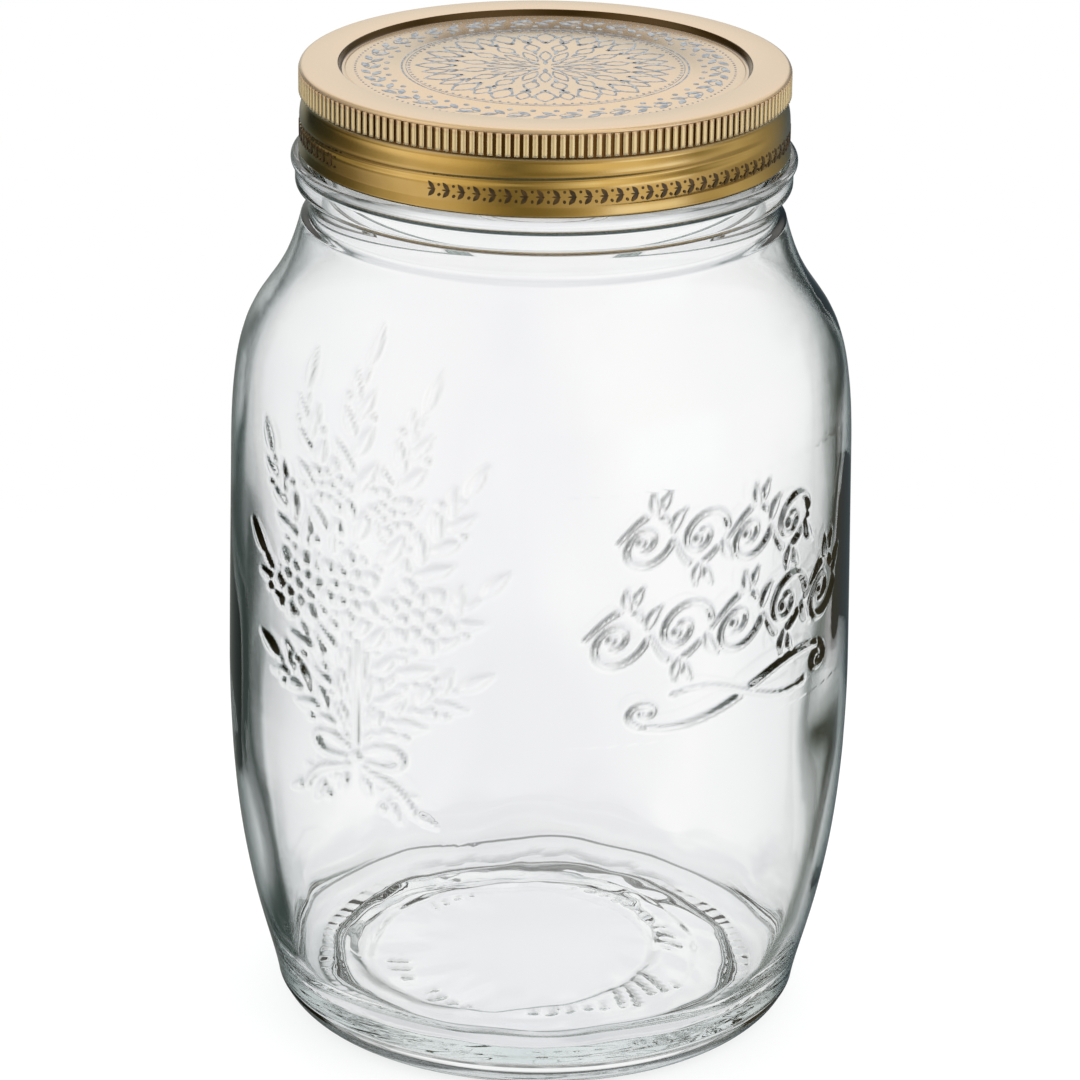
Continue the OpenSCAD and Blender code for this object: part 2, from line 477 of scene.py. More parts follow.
@dataclass(frozen=True)
class LacqueredTinplate:
    """Tinplate, rolled and coated with gold stoving lacquer, drawn in a press after coating."""

    gold: Stops = ((0.35, "#EED29A"), (0.70, "#E2C280"))
    painted_light_tones: Stops = ((168.3, "#F8E4BA"), (168.9, "#E4C9A8"))
    crest: tuple[float, float] = (41.0, 41.3)
    land: tuple[float, float] = (40.5, 40.8)
    pooled_lacquer_and_shade: str = "#7A5624"
    painted_recess_shade: str = "#4A3416"
    drawn: tuple[float, float] = (34.45, 0.35)
    top: float = 169.2
    grip_low: float = 164.6
    painted_light_dulling: float = 0.3
    rolling: float = 0.35
    cloud: float = 14.0

    def material(self) -> bpy.types.Material:
        """Build the material: deep gold skirt, rib crests and top made paler as painted light, painted
        shade between the ribs and on the wall of the panel, rolling lines and clouds.

        Returns:
            The material.
        """
        material, tree = new_material("gold_lacquered_tinplate")
        place = add_node(tree, "ShaderNodeTexCoord").outputs["Object"]
        height = add_node(tree, "ShaderNodeSeparateXYZ", {0: place}).outputs["Z"]
        level = add_node(tree, "ShaderNodeVectorMath", {0: place, 1: (1.0, 1.0, 0.0)},
                         operation="MULTIPLY")
        radius = add_node(tree, "ShaderNodeVectorMath", {0: level}, operation="LENGTH").outputs["Value"]
        clouds = add_node(tree, "ShaderNodeTexNoise", {
            "Vector": place, "Scale": 1 / (self.cloud * MM), "Detail": 3.0, "Roughness": 0.6})
        # Painted light: the rib crests and the top are paler and less metallic, as light falls on them from
        # above.
        crest = add_node(tree, "ShaderNodeMapRange", {
            0: radius, 1: self.crest[0] * MM, 2: self.crest[1] * MM}, interpolation_type="SMOOTHSTEP")
        land = add_node(tree, "ShaderNodeMapRange", {
            0: radius, 1: self.land[0] * MM, 2: self.land[1] * MM, 3: 1.0, 4: 0.0})
        (low, rib_tone), (high, land_tone) = self.painted_light_tones
        above = add_node(tree, "ShaderNodeMapRange", {0: height, 1: high * MM, 2: self.top * MM})
        flat = add_node(tree, "ShaderNodeMath", {0: land, 1: above}, operation="MAXIMUM")
        either = add_node(tree, "ShaderNodeMath", {0: crest, 1: flat}, operation="MAXIMUM")
        grip = add_node(tree, "ShaderNodeMath", {0: height, 1: self.grip_low * MM}, operation="GREATER_THAN")
        # thin marks the rib crests and the top, which get the painted light.
        thin = add_node(tree, "ShaderNodeMath", {0: either, 1: grip}, operation="MULTIPLY")
        up = add_node(tree, "ShaderNodeMapRange", {0: height, 1: low * MM, 2: high * MM})
        pale = add_node(tree, "ShaderNodeMix", {0: up, 6: rib_tone, 7: land_tone}, data_type="RGBA")
        deep = add_node(tree, "ShaderNodeValToRGB", {0: clouds}, self.gold)
        # The lacquer pools between the ribs, and the dark colour there is also painted shade.
        full = add_node(tree, "ShaderNodeMix", {0: grip, 6: deep, 7: self.pooled_lacquer_and_shade}, data_type="RGBA")
        coat = add_node(tree, "ShaderNodeMix", {
            0: thin, 6: full.outputs[2], 7: pale.outputs[2]}, data_type="RGBA")
        # Painted shade: a dark brown band on the wall of the sunk panel.
        middle, reach = self.drawn
        recess_shade_band = add_node(tree, "ShaderNodeMath", {0: radius, 1: middle * MM, 2: reach * MM},
                        operation="COMPARE")
        colour = add_node(tree, "ShaderNodeMix", {0: recess_shade_band, 6: coat.outputs[2], 7: self.painted_recess_shade},
                          data_type="RGBA")
        # Less metal on the crests and the top is part of the painted light.
        shine = add_node(tree, "ShaderNodeMapRange", {0: thin, 3: 1.0, 4: 1.0 - self.painted_light_dulling})
        # The rolling lines of the sheet run one way across it. Real ones are finer than a hair, and
        # these are as coarse as they need to be to show.
        stretched = add_node(tree, "ShaderNodeMapping", {"Vector": place, "Scale": (1.0, 0.05, 1.0)})
        lines = add_node(tree, "ShaderNodeTexNoise",
                         {"Vector": stretched, "Scale": 1 / (self.rolling * MM), "Detail": 2.0})
        relief = add_node(tree, "ShaderNodeBump", {"Strength": 0.12, "Distance": FINE, "Height": lines})
        gloss = add_node(tree, "ShaderNodeMapRange", {0: clouds, 3: 0.13, 4: 0.22})
        metal = add_node(tree, "ShaderNodeBsdfPrincipled", {
            "Base Color": colour.outputs[2], "Metallic": shine, "Roughness": gloss, "Normal": relief,
            "Coat Weight": 0.5, "Coat Roughness": 0.12, "Coat IOR": 1.5})
        add_node(tree, "ShaderNodeOutputMaterial", {"Surface": metal})
        return material


@dataclass(frozen=True)
class PrintingInk:
    """Offset printing ink stoved under varnish: a thin film, uneven in strength."""

    name: str
    strength: Stops
    grain: float = 0.8

    def material(self) -> bpy.types.Material:
        """Build the material: ink that is fuller in some places than in others.

        Returns:
            The material.
        """
        material, tree = new_material(self.name)
        place = add_node(tree, "ShaderNodeTexCoord").outputs["Object"]
        grain = add_node(tree, "ShaderNodeTexNoise",
                         {"Vector": place, "Scale": 1 / (self.grain * MM), "Detail": 2.0})
        film = add_node(tree, "ShaderNodeValToRGB", {0: grain}, self.strength)
        ink = add_node(tree, "ShaderNodeBsdfPrincipled", {
            "Base Color": film, "Roughness": 0.38, "IOR": 1.5, "Coat Weight": 0.4, "Coat Roughness": 0.15})
        add_node(tree, "ShaderNodeOutputMaterial", {"Surface": ink})
        return material


@dataclass(frozen=True)
class SealingCompound:
    """Flowed-in sealing compound: a foamed plastisol, off-white, matt and slightly soft."""

    colours: Stops = ((0.4, "#E4DDCE"), (0.7, "#D3CBBA"))
    pore: float = 0.5

    def material(self) -> bpy.types.Material:
        """Build the material: matt off-white with fine pores.

        Returns:
            The material.
        """
        material, tree = new_material("plastisol_sealing_compound")
        place = add_node(tree, "ShaderNodeTexCoord").outputs["Object"]
        # Real pores are a little finer, and these are as coarse as they need to be to show.
        pores = add_node(tree, "ShaderNodeTexNoise",
                         {"Vector": place, "Scale": 1 / (self.pore * MM), "Detail": 2.0})
        colour = add_node(tree, "ShaderNodeValToRGB", {0: pores}, self.colours)
        relief = add_node(tree, "ShaderNodeBump", {"Strength": 0.3, "Distance": FINE, "Height": pores})
        compound = add_node(tree, "ShaderNodeBsdfPrincipled", {
            "Base Color": colour, "Normal": relief, "Roughness": 0.6,
            "Subsurface Weight": 0.1, "Subsurface Scale": MM})
        add_node(tree, "ShaderNodeOutputMaterial", {"Surface": compound})
        return material


# ---- Relief pressed into the glass -----------------------------------------


@dataclass
class Relief:
    """Heights of the embossing on the unrolled wall, on an even raster.

    Places on it are distances in mm round the wall and up it.
    """

    left: float
    right: float
    low: float
    high: float
    step: float = 0.25
    gap: float = 0.5
    clearing: float = 0.85
    heights: Array = field(init=False)

    def __post_init__(self) -> None:
        """Start with a flat wall."""
        self.heights = np.zeros(self._size())

    def _size(self) -> tuple[int, int]:
        """Return the number of rows and columns."""
        spans = (self.high - self.low, self.right - self.left)
        return tuple(round(span / self.step) + 1 for span in spans)

    def press(self, path: Array, widths: Array, height: float) -> None:
        """Raise a rounded ridge along a path, on top of what is there.

        Args:
            path: Places along the ridge, one row each.
            widths: Half-width of the ridge at each place.
            height: Height of the ridge.
        """
        run = np.concatenate([[0.0], np.cumsum(np.linalg.norm(np.diff(path, axis=0), axis=1))])
        stations = np.linspace(0.0, run[-1], max(2, int(run[-1] / self.step)))
        across = np.interp(stations, run, path[:, 0])
        up = np.interp(stations, run, path[:, 1])
        half = np.maximum(np.interp(stations, run, widths), self.step)
        # What lies below is cut away first, a little wider, so that the ridge stands free.
        for place in zip(across, up, half + self.gap):
            window, share = self._window(*place)
            window *= 1.0 - self.clearing * (share > 0)
        for place in zip(across, up, half):
            window, share = self._window(*place)
            np.maximum(window, height * share, out=window)

    def score(self, path: Array, width: float, depth: float) -> None:
        """Cut a fine line into what is there.

        Args:
            path: Places along the line.
            width: Its half-width.
            depth: Its depth.
        """
        for u, v in path:
            window, share = self._window(u, v, width)
            np.minimum(window, window + depth * (0.4 - share) * (share > 0.4), out=window)

    def _window(self, u: float, v: float, w: float) -> tuple[Array, Array]:
        """Find the part of the raster round a place.

        Args:
            u: Distance of the place round the wall.
            v: Its distance up the wall.
            w: Half-width of a dome on it.

        Returns:
            A view of that part, and the height of the dome there, from 0 to 1.
        """
        rows, columns = self._size()
        first_row = min(rows, max(0, int((v - w - self.low) / self.step)))
        last_row = max(first_row, min(rows, int((v + w - self.low) / self.step) + 2))
        first_column = min(columns, max(0, int((u - w - self.left) / self.step)))
        last_column = max(first_column, min(columns, int((u + w - self.left) / self.step) + 2))
        vs = self.low + self.step * np.arange(first_row, last_row)[:, None]
        us = self.left + self.step * np.arange(first_column, last_column)[None, :]
        dome = np.clip(1 - ((us - u) ** 2 + (vs - v) ** 2) / w**2, 0, 1)
        return self.heights[first_row:last_row, first_column:last_column], dome

    def soften(self, passes: int) -> None:
        """Round every edge a little, as molten glass does in the mould.

        Args:
            passes: How many times over.
        """
        for _ in range(passes):
            for axis in (0, 1):
                self.heights = (
                    np.roll(self.heights, 1, axis) + 2 * self.heights + np.roll(self.heights, -1, axis)
                ) / 4

    def sample(self, raster: Array, u: Array, v: float) -> Array:
        """Read a raster of this relief's size at places along one height.

        Args:
            raster: The raster.
            u: Distances of the places round the wall.
            v: Their distance up the wall.

        Returns:
            Its value at each place.
        """
        row = (v - self.low) / self.step
        if not 0 <= row < raster.shape[0] - 1:
            return np.zeros_like(u)
        base = int(row)
        line = raster[base] * (base + 1 - row) + raster[base + 1] * (row - base)
        columns = (u - self.left) / self.step
        return np.interp(columns, np.arange(raster.shape[1]), line, left=0.0, right=0.0)

    def slopes(self) -> Array:
        """Work out how much painted shade each slope of the relief gets.

        On the left the sides that face right and up get it, and on the right both sides of the strokes
        that stand up.

        Returns:
            The painted shade, from 0 to 1, at each place of the raster.
        """
        rise_v, rise_u = np.gradient(self.heights, self.step)
        steep = np.hypot(rise_u, rise_v)
        flat = np.maximum(steep, 1e-6)
        facing = 0.45 * np.clip((-0.85 * rise_u - 0.5 * rise_v) / flat, 0, 1)
        flanks = np.clip(1.5 * np.abs(0.9 * rise_u - 0.42 * rise_v) / flat - 0.5, 0, 1)
        across = self.left + self.step * np.arange(steep.shape[1])
        return np.clip((steep - 0.1) / 0.4, 0, 1) * (0.1 + 0.85 * np.where(across > 0, flanks, facing))


def unit(angle: float) -> Array:
    """Return the direction on the unrolled wall at an angle in degrees from straight up, clockwise."""
    return np.array([math.sin(math.radians(angle)), math.cos(math.radians(angle))])


@dataclass
class Engraver:
    """Cuts the ornament of the mould: sprigs, blossoms, ribbons and penwork scrolls."""

    relief: Relief
    height: float = 0.52

    def leaf(self, foot: Array, angle: float, length: float, half: float, bend: float = 0.0) -> None:
        """Cut a pointed leaf with a vein.

        Args:
            foot: Place where the leaf starts.
            angle: Direction of the leaf, in degrees from straight up.
            length: Its length.
            half: Its half-width where it is widest.
            bend: How far it turns over its length, in degrees.
        """
        t = np.linspace(0.0, 1.0, 13)
        steps = [unit(angle + bend * s) for s in t[:-1]]
        path = np.concatenate([[foot], foot + np.cumsum(steps, axis=0) * length / (len(t) - 1)])
        self.relief.press(path, half * np.sin(math.pi * t**0.8), self.height)
        self.relief.score(along_length(path[1:-2], 0.3), 0.5, 0.5 * self.height)

    def berry(self, place: Array, radius: float) -> None:
        """Cut a round berry."""
        self.relief.press(np.array([place, place + 0.01]), np.full(2, radius), self.height)

    def stroke(self, path: Array, first: float, middle: float, last: float) -> None:
        """Cut a stroke that swells and fades, by its half-widths at its start, middle and end."""
        t = np.linspace(0.0, 1.0, len(path))
        self.relief.press(path, np.interp(t, [0.0, 0.5, 1.0], [first, middle, last]), self.height)

    def sprig(self, foot: Array, tip: Array, leaves: int, size: float) -> None:
        """Cut a curved stem with leaves on both sides, berries between them and a leaf at its tip.

        Args:
            foot: Lower end of the stem.
            tip: Upper end of the stem.
            leaves: Number of pairs of leaves.
            size: Length of the largest leaf.
        """
        reach = tip - foot
        stem = np.array(curve(foot, foot + reach * (0.1, 0.45), tip - reach * (0.35, 0.25), tip, 40))
        self.stroke(stem, 0.45, 0.4, 0.3)
        for index in range(leaves):
            place = round(10 + 27 * index / leaves)
            ahead = stem[place + 1] - stem[place]
            heading = math.degrees(math.atan2(*ahead))
            length = size * (1.0 - 0.3 * abs(2 * index / leaves - 0.8))
            spread = 44 + 8 * math.sin(2.4 * index)
            self.leaf(stem[place], heading + spread, length, 0.21 * length, -24)
            self.leaf(stem[place + 2], heading - spread, 0.92 * length, 0.2 * length, 24)
            if index % 2:
                self.berry(stem[place] + 0.55 * length * unit(heading + 78), 0.85)
                self.berry(stem[place + 2] + 0.5 * length * unit(heading - 80), 0.8)
        self.leaf(stem[-3], math.degrees(math.atan2(*(stem[-1] - stem[-3]))), 0.8 * size, 0.17 * size)

    def blossom(self, centre: Array, petals: int, length: float, turn: float) -> None:
        """Cut an open blossom: round petals in two rows round a beaded eye.

        Args:
            centre: Middle of the blossom.
            petals: Number of petals in each row.
            length: Length of an outer petal.
            turn: How far it is turned, in degrees.
        """
        pitch = 360 / petals
        for row, (share, shift) in enumerate(((1.0, 0.0), (0.62, 0.5))):
            for index in range(petals):
                angle = turn + (index + shift) * pitch
                reach = length * share
                path = np.array([centre + reach * s * unit(angle) for s in (0.25, 0.5, 0.75, 0.9)])
                widths = reach * np.array([0.12, 0.24, 0.3, 0.18])
                self.relief.press(path, widths, self.height * (0.9 + 0.1 * row))
        self.berry(centre, 0.24 * length)

    def ribbon(self, knot: Array, size: float) -> None:
        """Cut a bow with two loops and two waving tails.

        Args:
            knot: Place of the knot.
            size: Length of a loop.
        """
        for side in (-1, 1):
            out = np.array([side * size, 0.0])
            tail = curve(
                knot, knot + 0.4 * out - (0, 0.5 * size), knot + 0.9 * out - (0, 0.2 * size),
                knot + 1.25 * out - (0, 0.95 * size), 30)
            self.stroke(np.array(tail), 0.4, 1.0, 0.5)
            loop = curve(
                knot, knot + 1.1 * out + (0, 0.9 * size), knot + 1.5 * out - (0, 0.5 * size), knot, 40)
            self.stroke(np.array(loop), 0.35, 0.95, 0.35)
        self.berry(knot, 1.3)

    def bouquet(self, knot: Array, middle: Array, half_width: float, half_height: float) -> None:
        """Cut a tied bouquet: a fan of sprigs, blossoms in its heart and a ribbon at its foot.

        Args:
            knot: Place where it is tied.
            middle: Middle of the fan of tips.
            half_width: Half the width of the fan.
            half_height: Half its height.
        """
        for angle in (-128, 122, -96, 92, -64, 62, -34, 32, -2):
            sweep = unit(angle) * (half_width, half_height)
            self.sprig(knot, middle + sweep, 6 if abs(angle) < 70 else 4, 7.6)
        for place, angle in ((-0.52, 18), (0.5, 40), (-0.04, 0)):
            self.blossom(middle + (place * half_width, -0.14 * half_height * (1 + abs(place))), 6, 6.6, angle)
        self.blossom(middle + (-0.2 * half_width, 0.34 * half_height), 5, 4.8, 10)
        self.blossom(middle + (0.3 * half_width, 0.28 * half_height), 5, 4.4, 50)
        for side in (-1, 1):
            foot = knot + (side * 3.0, -1.0)
            self.sprig(knot, foot + (side * 9.0, -7.5), 2, 5.5)
        self.ribbon(knot, 9.0)

    def rinceau(self, start: Array, pitch: float, waves: int, swing: float, fall: float) -> None:
        """Cut a running scroll: a wavy stem that throws a coiled shoot into each of its hollows.

        Args:
            start: Left end of the stem.
            pitch: Length of half a wave.
            waves: Number of half waves.
            swing: How far the stem swings up and down.
            fall: How far each half wave lies below the last.
        """
        slant = 0.28
        t = np.linspace(0.0, 1.0, 40)
        for index in range(waves):
            side = 1 if index % 2 == 0 else -1
            foot = start + np.array([pitch * index, -fall * index])
            eye = foot + np.array([0.47 * pitch, -0.1 * side * swing])
            radii = 0.5 * pitch * (0.16 ** t)
            turns = 85 + side * (5 + 560 * t)
            shoot = np.array([eye + r * unit(a) for r, a in zip(radii, turns)])
            stem = foot + np.stack([pitch * t, side * swing * np.sin(math.pi * t)], axis=1)
            for path in (shoot, stem):
                path[:, 0] += slant * (path[:, 1] - foot[1])
            self.stroke(stem, 0.26, 0.68, 0.26)
            self.stroke(shoot, 0.56, 0.42, 0.24)
            self.berry(shoot[-1], 0.95)
            crest = 0 if side > 0 else 180
            self.leaf(stem[17], crest + side * 62, 5.4, 1.05, -side * 40)
            self.leaf(stem[22], crest - side * 30, 3.8, 0.85, side * 40)
            self.leaf(stem[36], 90 - side * 80, 4.6, 0.95, side * 50)

    def swash(self, left: Array, right: Array, coil: float, swell: float) -> None:
        """Cut a long pen stroke that ends in a coil at each side.

        Args:
            left: Eye of the left coil.
            right: Eye of the right coil.
            coil: Outer radius of the coils.
            swell: How far the stroke swings between them.
        """
        t = np.linspace(0.0, 1.0, 40)
        for eye, start in ((left, 180), (right, 0)):
            spiral = np.array([eye + coil * 0.2**s * unit(start + 470 * s) * (1.5, 1.0) for s in t])
            self.stroke(spiral, 0.42, 0.5, 0.28)
        width = right[0] - left[0]
        wave = curve(left - (0, coil), left + (0.4 * width, -coil - swell),
                     right + (-0.4 * width, coil + swell), right + (0, coil), 50)
        self.stroke(np.array(wave), 0.42, 0.8, 0.42)
        thin = curve(left + (0.12 * width, coil), left + (0.42 * width, coil + swell),
                     right - (0.42 * width, coil + swell), right - (0.1 * width, coil), 50)
        self.stroke(np.array(thin), 0.2, 0.42, 0.2)


# ---- Glass jar ---------------------------------------------------------------


@dataclass
class GlassJar:
    """The pressed glass jar: body, embossing, base marks, neck rings and thread in one piece."""

    belly_r: float = 54.25
    belly_z: float = 62.0
    shoulder_r: float = 53.45
    shoulder_z: float = 104.0
    shoulder_bulge: float = 30.0
    shoulder_lean: float = 1.3
    shoulder_slope: float = 14.0
    wall: float = 1.8
    heel_wall: float = 3.7
    thick_to: float = 52.0
    thin_from: float = 106.0
    lopsided: float = 0.4
    bearing_in: float = 37.6
    bearing_out: float = 40.2
    heel_r: float = 6.3
    heel_slope: float = 10.7
    punt_h: float = 4.2
    punt_r: float = 29.0
    floor_t: float = 4.6
    floor_top: float = 13.0
    neck_r: float = 39.6
    crease_z: float = 144.0
    collar_r: float = 42.8
    collar_h: float = 1.9
    bead_r: float = 42.1
    bead_h: float = 3.8
    cap_gap: float = 0.35
    ring_gap: float = 0.25
    finish_r: float = 38.7
    mouth_r: float = 35.6
    lip_round: float = 0.8
    bore_h: float = 16.0
    thread: Helix = Helix(z=162.8, first=-390.0, last=45.0, fades=(22.0, 22.0))
    thread_crest: float = 40.3
    thread_half: float = 1.05
    ticks: int = 80
    tick_depth: float = 0.12
    bars: int = 50
    bar_r: float = 25.0
    bar_groups: tuple[tuple[float, float, float, float], ...] = (
        (48.0, 15.0, 3.4, 0.36), (14.0, 17.0, 1.3, 0.24), (-36.0, 15.0, 1.6, 0.24), (-72.0, 14.0, 1.6, 0.2),
        (98.0, 12.0, 1.4, 0.2), (150.0, 18.0, 1.3, 0.16), (-140.0, 16.0, 1.3, 0.16),
    )
    painted_ring_r: float = 34.4
    dish_r: float = 27.0
    dish_h: float = 1.0
    dish_shift: float = 5.0
    seam_z: float = 4.15
    seam_h: float = 0.1
    ornament: tuple[float, float] = (49.9, 136.1)
    fine_ornament: tuple[float, float] = (67.9, 112.1)
    grain: float = 0.55
    lip_z: float = field(init=False)
    cap_z: float = field(init=False)
    relief: Relief = field(init=False)
    # Painted shade of the relief's slopes, on the same raster as its heights.
    steep: Array = field(init=False)

    def __post_init__(self) -> None:
        """Take the heights of the lip and the cap from the frame, and cut the ornament."""
        self.lip_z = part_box("glass_jar")[1].z / MM
        self.cap_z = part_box("screw_cap")[0].z / MM
        self.relief = self._emboss()
        self.steep = self.relief.slopes()

    def build(self, material: bpy.types.Material) -> bpy.types.Object:
        """Build the jar.

        Args:
            material: The glass.

        Returns:
            The jar as one closed piece.
        """
        skin = Skin()
        for part in (self._underside, self._heel, self._wall, self._finish, self._inside):
            part(skin)
        return skin.piece("pressed_glass_jar", material)

    def _emboss(self) -> Relief:
        """Cut the ornament of the mould: a tied bouquet on the left and penwork scrolls on the right.

        Returns:
            The relief.
        """
        relief = Relief(left=-70.0, right=72.0, low=40.0, high=142.0)
        sprays = Engraver(relief, 0.5)
        knot, middle = np.array([-32.0, 62.5]), np.array([-33.0, 97.0])
        sprays.bouquet(knot, middle, half_width=25.0, half_height=35.0)
        relief.soften(1)
        penwork = Engraver(relief, 0.62)
        penwork.rinceau(np.array([13.0, 103.5]), pitch=10.2, waves=4, swing=4.4, fall=0.9)
        penwork.rinceau(np.array([7.5, 87.0]), pitch=11.4, waves=5, swing=4.8, fall=0.2)
        penwork.swash(np.array([18.0, 73.4]), np.array([57.0, 73.8]), coil=2.6, swell=3.0)
        relief.soften(1)
        return relief

    # The base

    def _underside(self, skin: Skin) -> None:
        """Lay the underside from the middle out to the bearing ring, with its mould marks.

        Args:
            skin: The skin so far.
        """
        push, rim, inner = self.punt_h, self.punt_r, self.bearing_in
        radii, heights = np.asarray(chain(
            curve((0, push), (rim * 0.5, push), (rim * 0.8, push - 0.4), (rim - 1.0, push - 0.6), 60),
            [(rim + 0.5, push - 0.9), (inner - 3.4, push - 1.05)],
            curve((inner - 3.0, push - 1.1), (inner - 2.3, push - 1.3), (inner - 2.2, 1.3),
                  (inner - 1.4, 0.9), 20),
            arc((inner, 1.0), 1.0, 225, 270, 6),
            [(self.bearing_out, 0.0)],
        )).T
        zones = (
            (72, np.arange(2.0, 19.5, 2.0)), (240, np.arange(20.0, rim + 1.0, 0.45)),
            (240, np.arange(30.6, 33.5, 1.0)), (240, np.arange(33.6, 36.6, 0.35)),
            (360, np.arange(37.0, self.bearing_out + 0.01, 0.4)),
        )
        skin.pole(push)
        for turns, radius in ((round_turns(count), radius) for count, zone in zones for radius in zone):
            marks = self._base_marks(turns, radius)
            # Painted shade: the mould marks are darkened, and so is a ragged ring at the back of the
            # underside.
            ragged = 0.5 * ripple(turns, 0.0, ((1.0, 19, 0.0, 0.5), (0.7, 41, 0.0, 1.0)))
            painted_back_ring = 1 - smooth(np.abs(radius - self.painted_ring_r + ragged), 0.6, 1.3)
            shade = np.maximum(2.0 * marks, smooth(-np.cos(turns), 0.80, 0.97) * painted_back_ring)
            height = np.interp(radius, radii, heights) - marks + self._tick_valleys(turns, radius)
            skin.ring(turns, radius, height, np.clip(shade, 0, 0.85))

    def _heel(self, skin: Skin) -> None:
        """Lay the heel from the bearing ring up to the wall, with the seam of the base plate.

        Args:
            skin: The skin so far.
        """
        around = round_turns(360)
        # Painted shade runs along the seam of the base plate, in a band widest at the front left and front
        # right.
        left = 1.5 * smooth(np.cos(around + 0.8), 0.80, 1.0)
        right = 0.9 * smooth(np.cos(around - 1.0), 0.75, 1.0)
        spread = 0.3 + left + right
        heel = arc((self.bearing_out, self.heel_r), self.heel_r, -90, -self.heel_slope, 26)
        for radius, height in heel[1:]:
            step = 1 if height < 0.3 else 2
            turns, wide = around[::step], spread[::step]
            above = height - self.seam_z
            painted_shade = 1 - smooth(np.abs(above + 0.5 * wide), 0.5 * wide, wide)
            skin.ring(turns, radius + self.seam_h * math.exp(-((above / 0.3) ** 2)),
                      height + self._tick_valleys(turns, radius), 0.9 * painted_shade)

    def _base_marks(self, turns: Array, radius: float) -> Array:
        """Return how far the mould marks stand out from the underside at one radius.

        Args:
            turns: Angles round the base.
            radius: Radius in mm.

        Returns:
            Height of the marks in mm.
        """
        marks = np.zeros_like(turns)
        degrees = np.degrees(turns)
        out = radius - self.bar_r
        bar = smooth(np.cos(self.bars * (turns + 0.02 * out)), 0.0, 0.8)
        for centre, span, length, height in self.bar_groups:
            group = bar * (1 - smooth(np.abs(degrees - centre), span - 3.0, span))
            reach = length * (1.0 + 0.3 * np.sin(13 * turns))
            marks = np.maximum(marks, height * group * (1 - smooth(abs(out), reach - 0.6, reach)))
        return marks

    def _tick_valleys(self, turns: Array, radius: float) -> Array:
        """Find how far the bearing ring is cut back between its grip ticks, worn away in places.

        Args:
            turns: Angles round the base.
            radius: Radius in mm.

        Returns:
            Depth of the cuts in mm.
        """
        tick = smooth(np.cos(self.ticks * turns), -0.35, 0.35)
        band = smooth(radius, 37.0, 37.8) * (1 - smooth(radius, 39.8, 41.0))
        fresh = np.maximum(smooth(np.cos(turns - 1.2), 0.1, 0.7), smooth(np.cos(turns + 1.35), 0.3, 0.9))
        return self.tick_depth * band * (1 - tick) * fresh

    # The wall

    def _body(self) -> Path:
        """Draw the outside of the wall.

        Returns:
            Its outline, from the heel past the belly to the end of the shoulder.
        """
        heel_end = (
            self.bearing_out + self.heel_r * math.cos(math.radians(self.heel_slope)),
            self.heel_r - self.heel_r * math.sin(math.radians(self.heel_slope)),
        )
        belly = (self.belly_r, self.belly_z)
        shoulder = (self.shoulder_r, self.shoulder_z)
        end = (self.neck_r + 1.6, self.crease_z - 0.5)
        return chain(
            curve(heel_end, toward(heel_end, self.heel_slope, 9.5), (belly[0], belly[1] - 35), belly, 200),
            curve(belly, (belly[0], belly[1] + 5), toward(shoulder, -self.shoulder_lean, -5), shoulder, 100),
            curve(shoulder, toward(shoulder, -self.shoulder_lean, self.shoulder_bulge),
                  toward(end, -self.shoulder_slope, -20), end, 200),
        )

    def _wall(self, skin: Skin) -> None:
        """Lay the outside of the body, dense where the ornament is.

        Args:
            skin: The skin so far.
        """
        body = self._body()
        foot, top = body[0][1], body[-1][1]
        spacing = math.degrees(self.grain / self.belly_r)
        art = (-67.0, -4.0, 1.1 * spacing)
        scroll = (6.0, 71.0, 0.66 * spacing)
        heights = np.concatenate([
            np.arange(foot + 1.6, 49.5, 1.6), np.arange(50.0, 67.8, self.grain),
            np.arange(68.0, 112.0, 0.82 * self.grain), np.arange(112.2, 136.0, self.grain),
            np.arange(136.6, top - 0.4, 1.0), [top],
        ])
        for radius, height in at_height(body, heights):
            turns = round_turns(144)
            if self.ornament[0] < height < self.ornament[1]:
                scrolls = self.fine_ornament[0] < height < self.fine_ornament[1]
                turns = zoned_turns(100, art, scroll) if scrolls else zoned_turns(100, art)
            around = turns * self.belly_r
            raised = self.relief.sample(self.relief.heights, around, height)
            # The slopes of the relief get painted shade.
            steep = self.relief.sample(self.steep, around, height)
            skin.ring(turns, radius + raised + 0.5 * self._flow(turns, height), height, steep)

    def _flow(self, turns: Array, height: float) -> Array:
        """Find the slow waves that flowing glass leaves in the wall.

        Args:
            turns: Angles round the jar.
            height: Height in mm.

        Returns:
            Offset in mm.
        """
        fade = float(smooth(height, 8.0, 30.0) * (1 - smooth(height, 128.0, 143.0)))
        waves = ((0.05, 3, 0.031, 0.4), (0.04, 5, -0.052, 2.1), (0.03, 9, 0.09, 4.0), (0.02, 14, -0.12, 1.0))
        return fade * ripple(turns, height, waves)

    # The neck and finish

    def _ring_path(self, root: float, radius: float, low: float, high: float,
                   round_low: float, round_high: float) -> Path:
        """Return the outline of a ring that stands out from the neck.

        Args:
            root: Radius that it stands on.
            radius: Its outer radius.
            low: Its lowest height.
            high: Its highest height.
            round_low: Radius of its lower edge.
            round_high: Radius of its upper edge.

        Returns:
            The outline, from its lower root to its upper edge.
        """
        return chain(
            [(root, low)],
            arc((radius - round_low, low + round_low), round_low, -90, 0),
            arc((radius - round_high, high - round_high), round_high, 0, 90),
        )

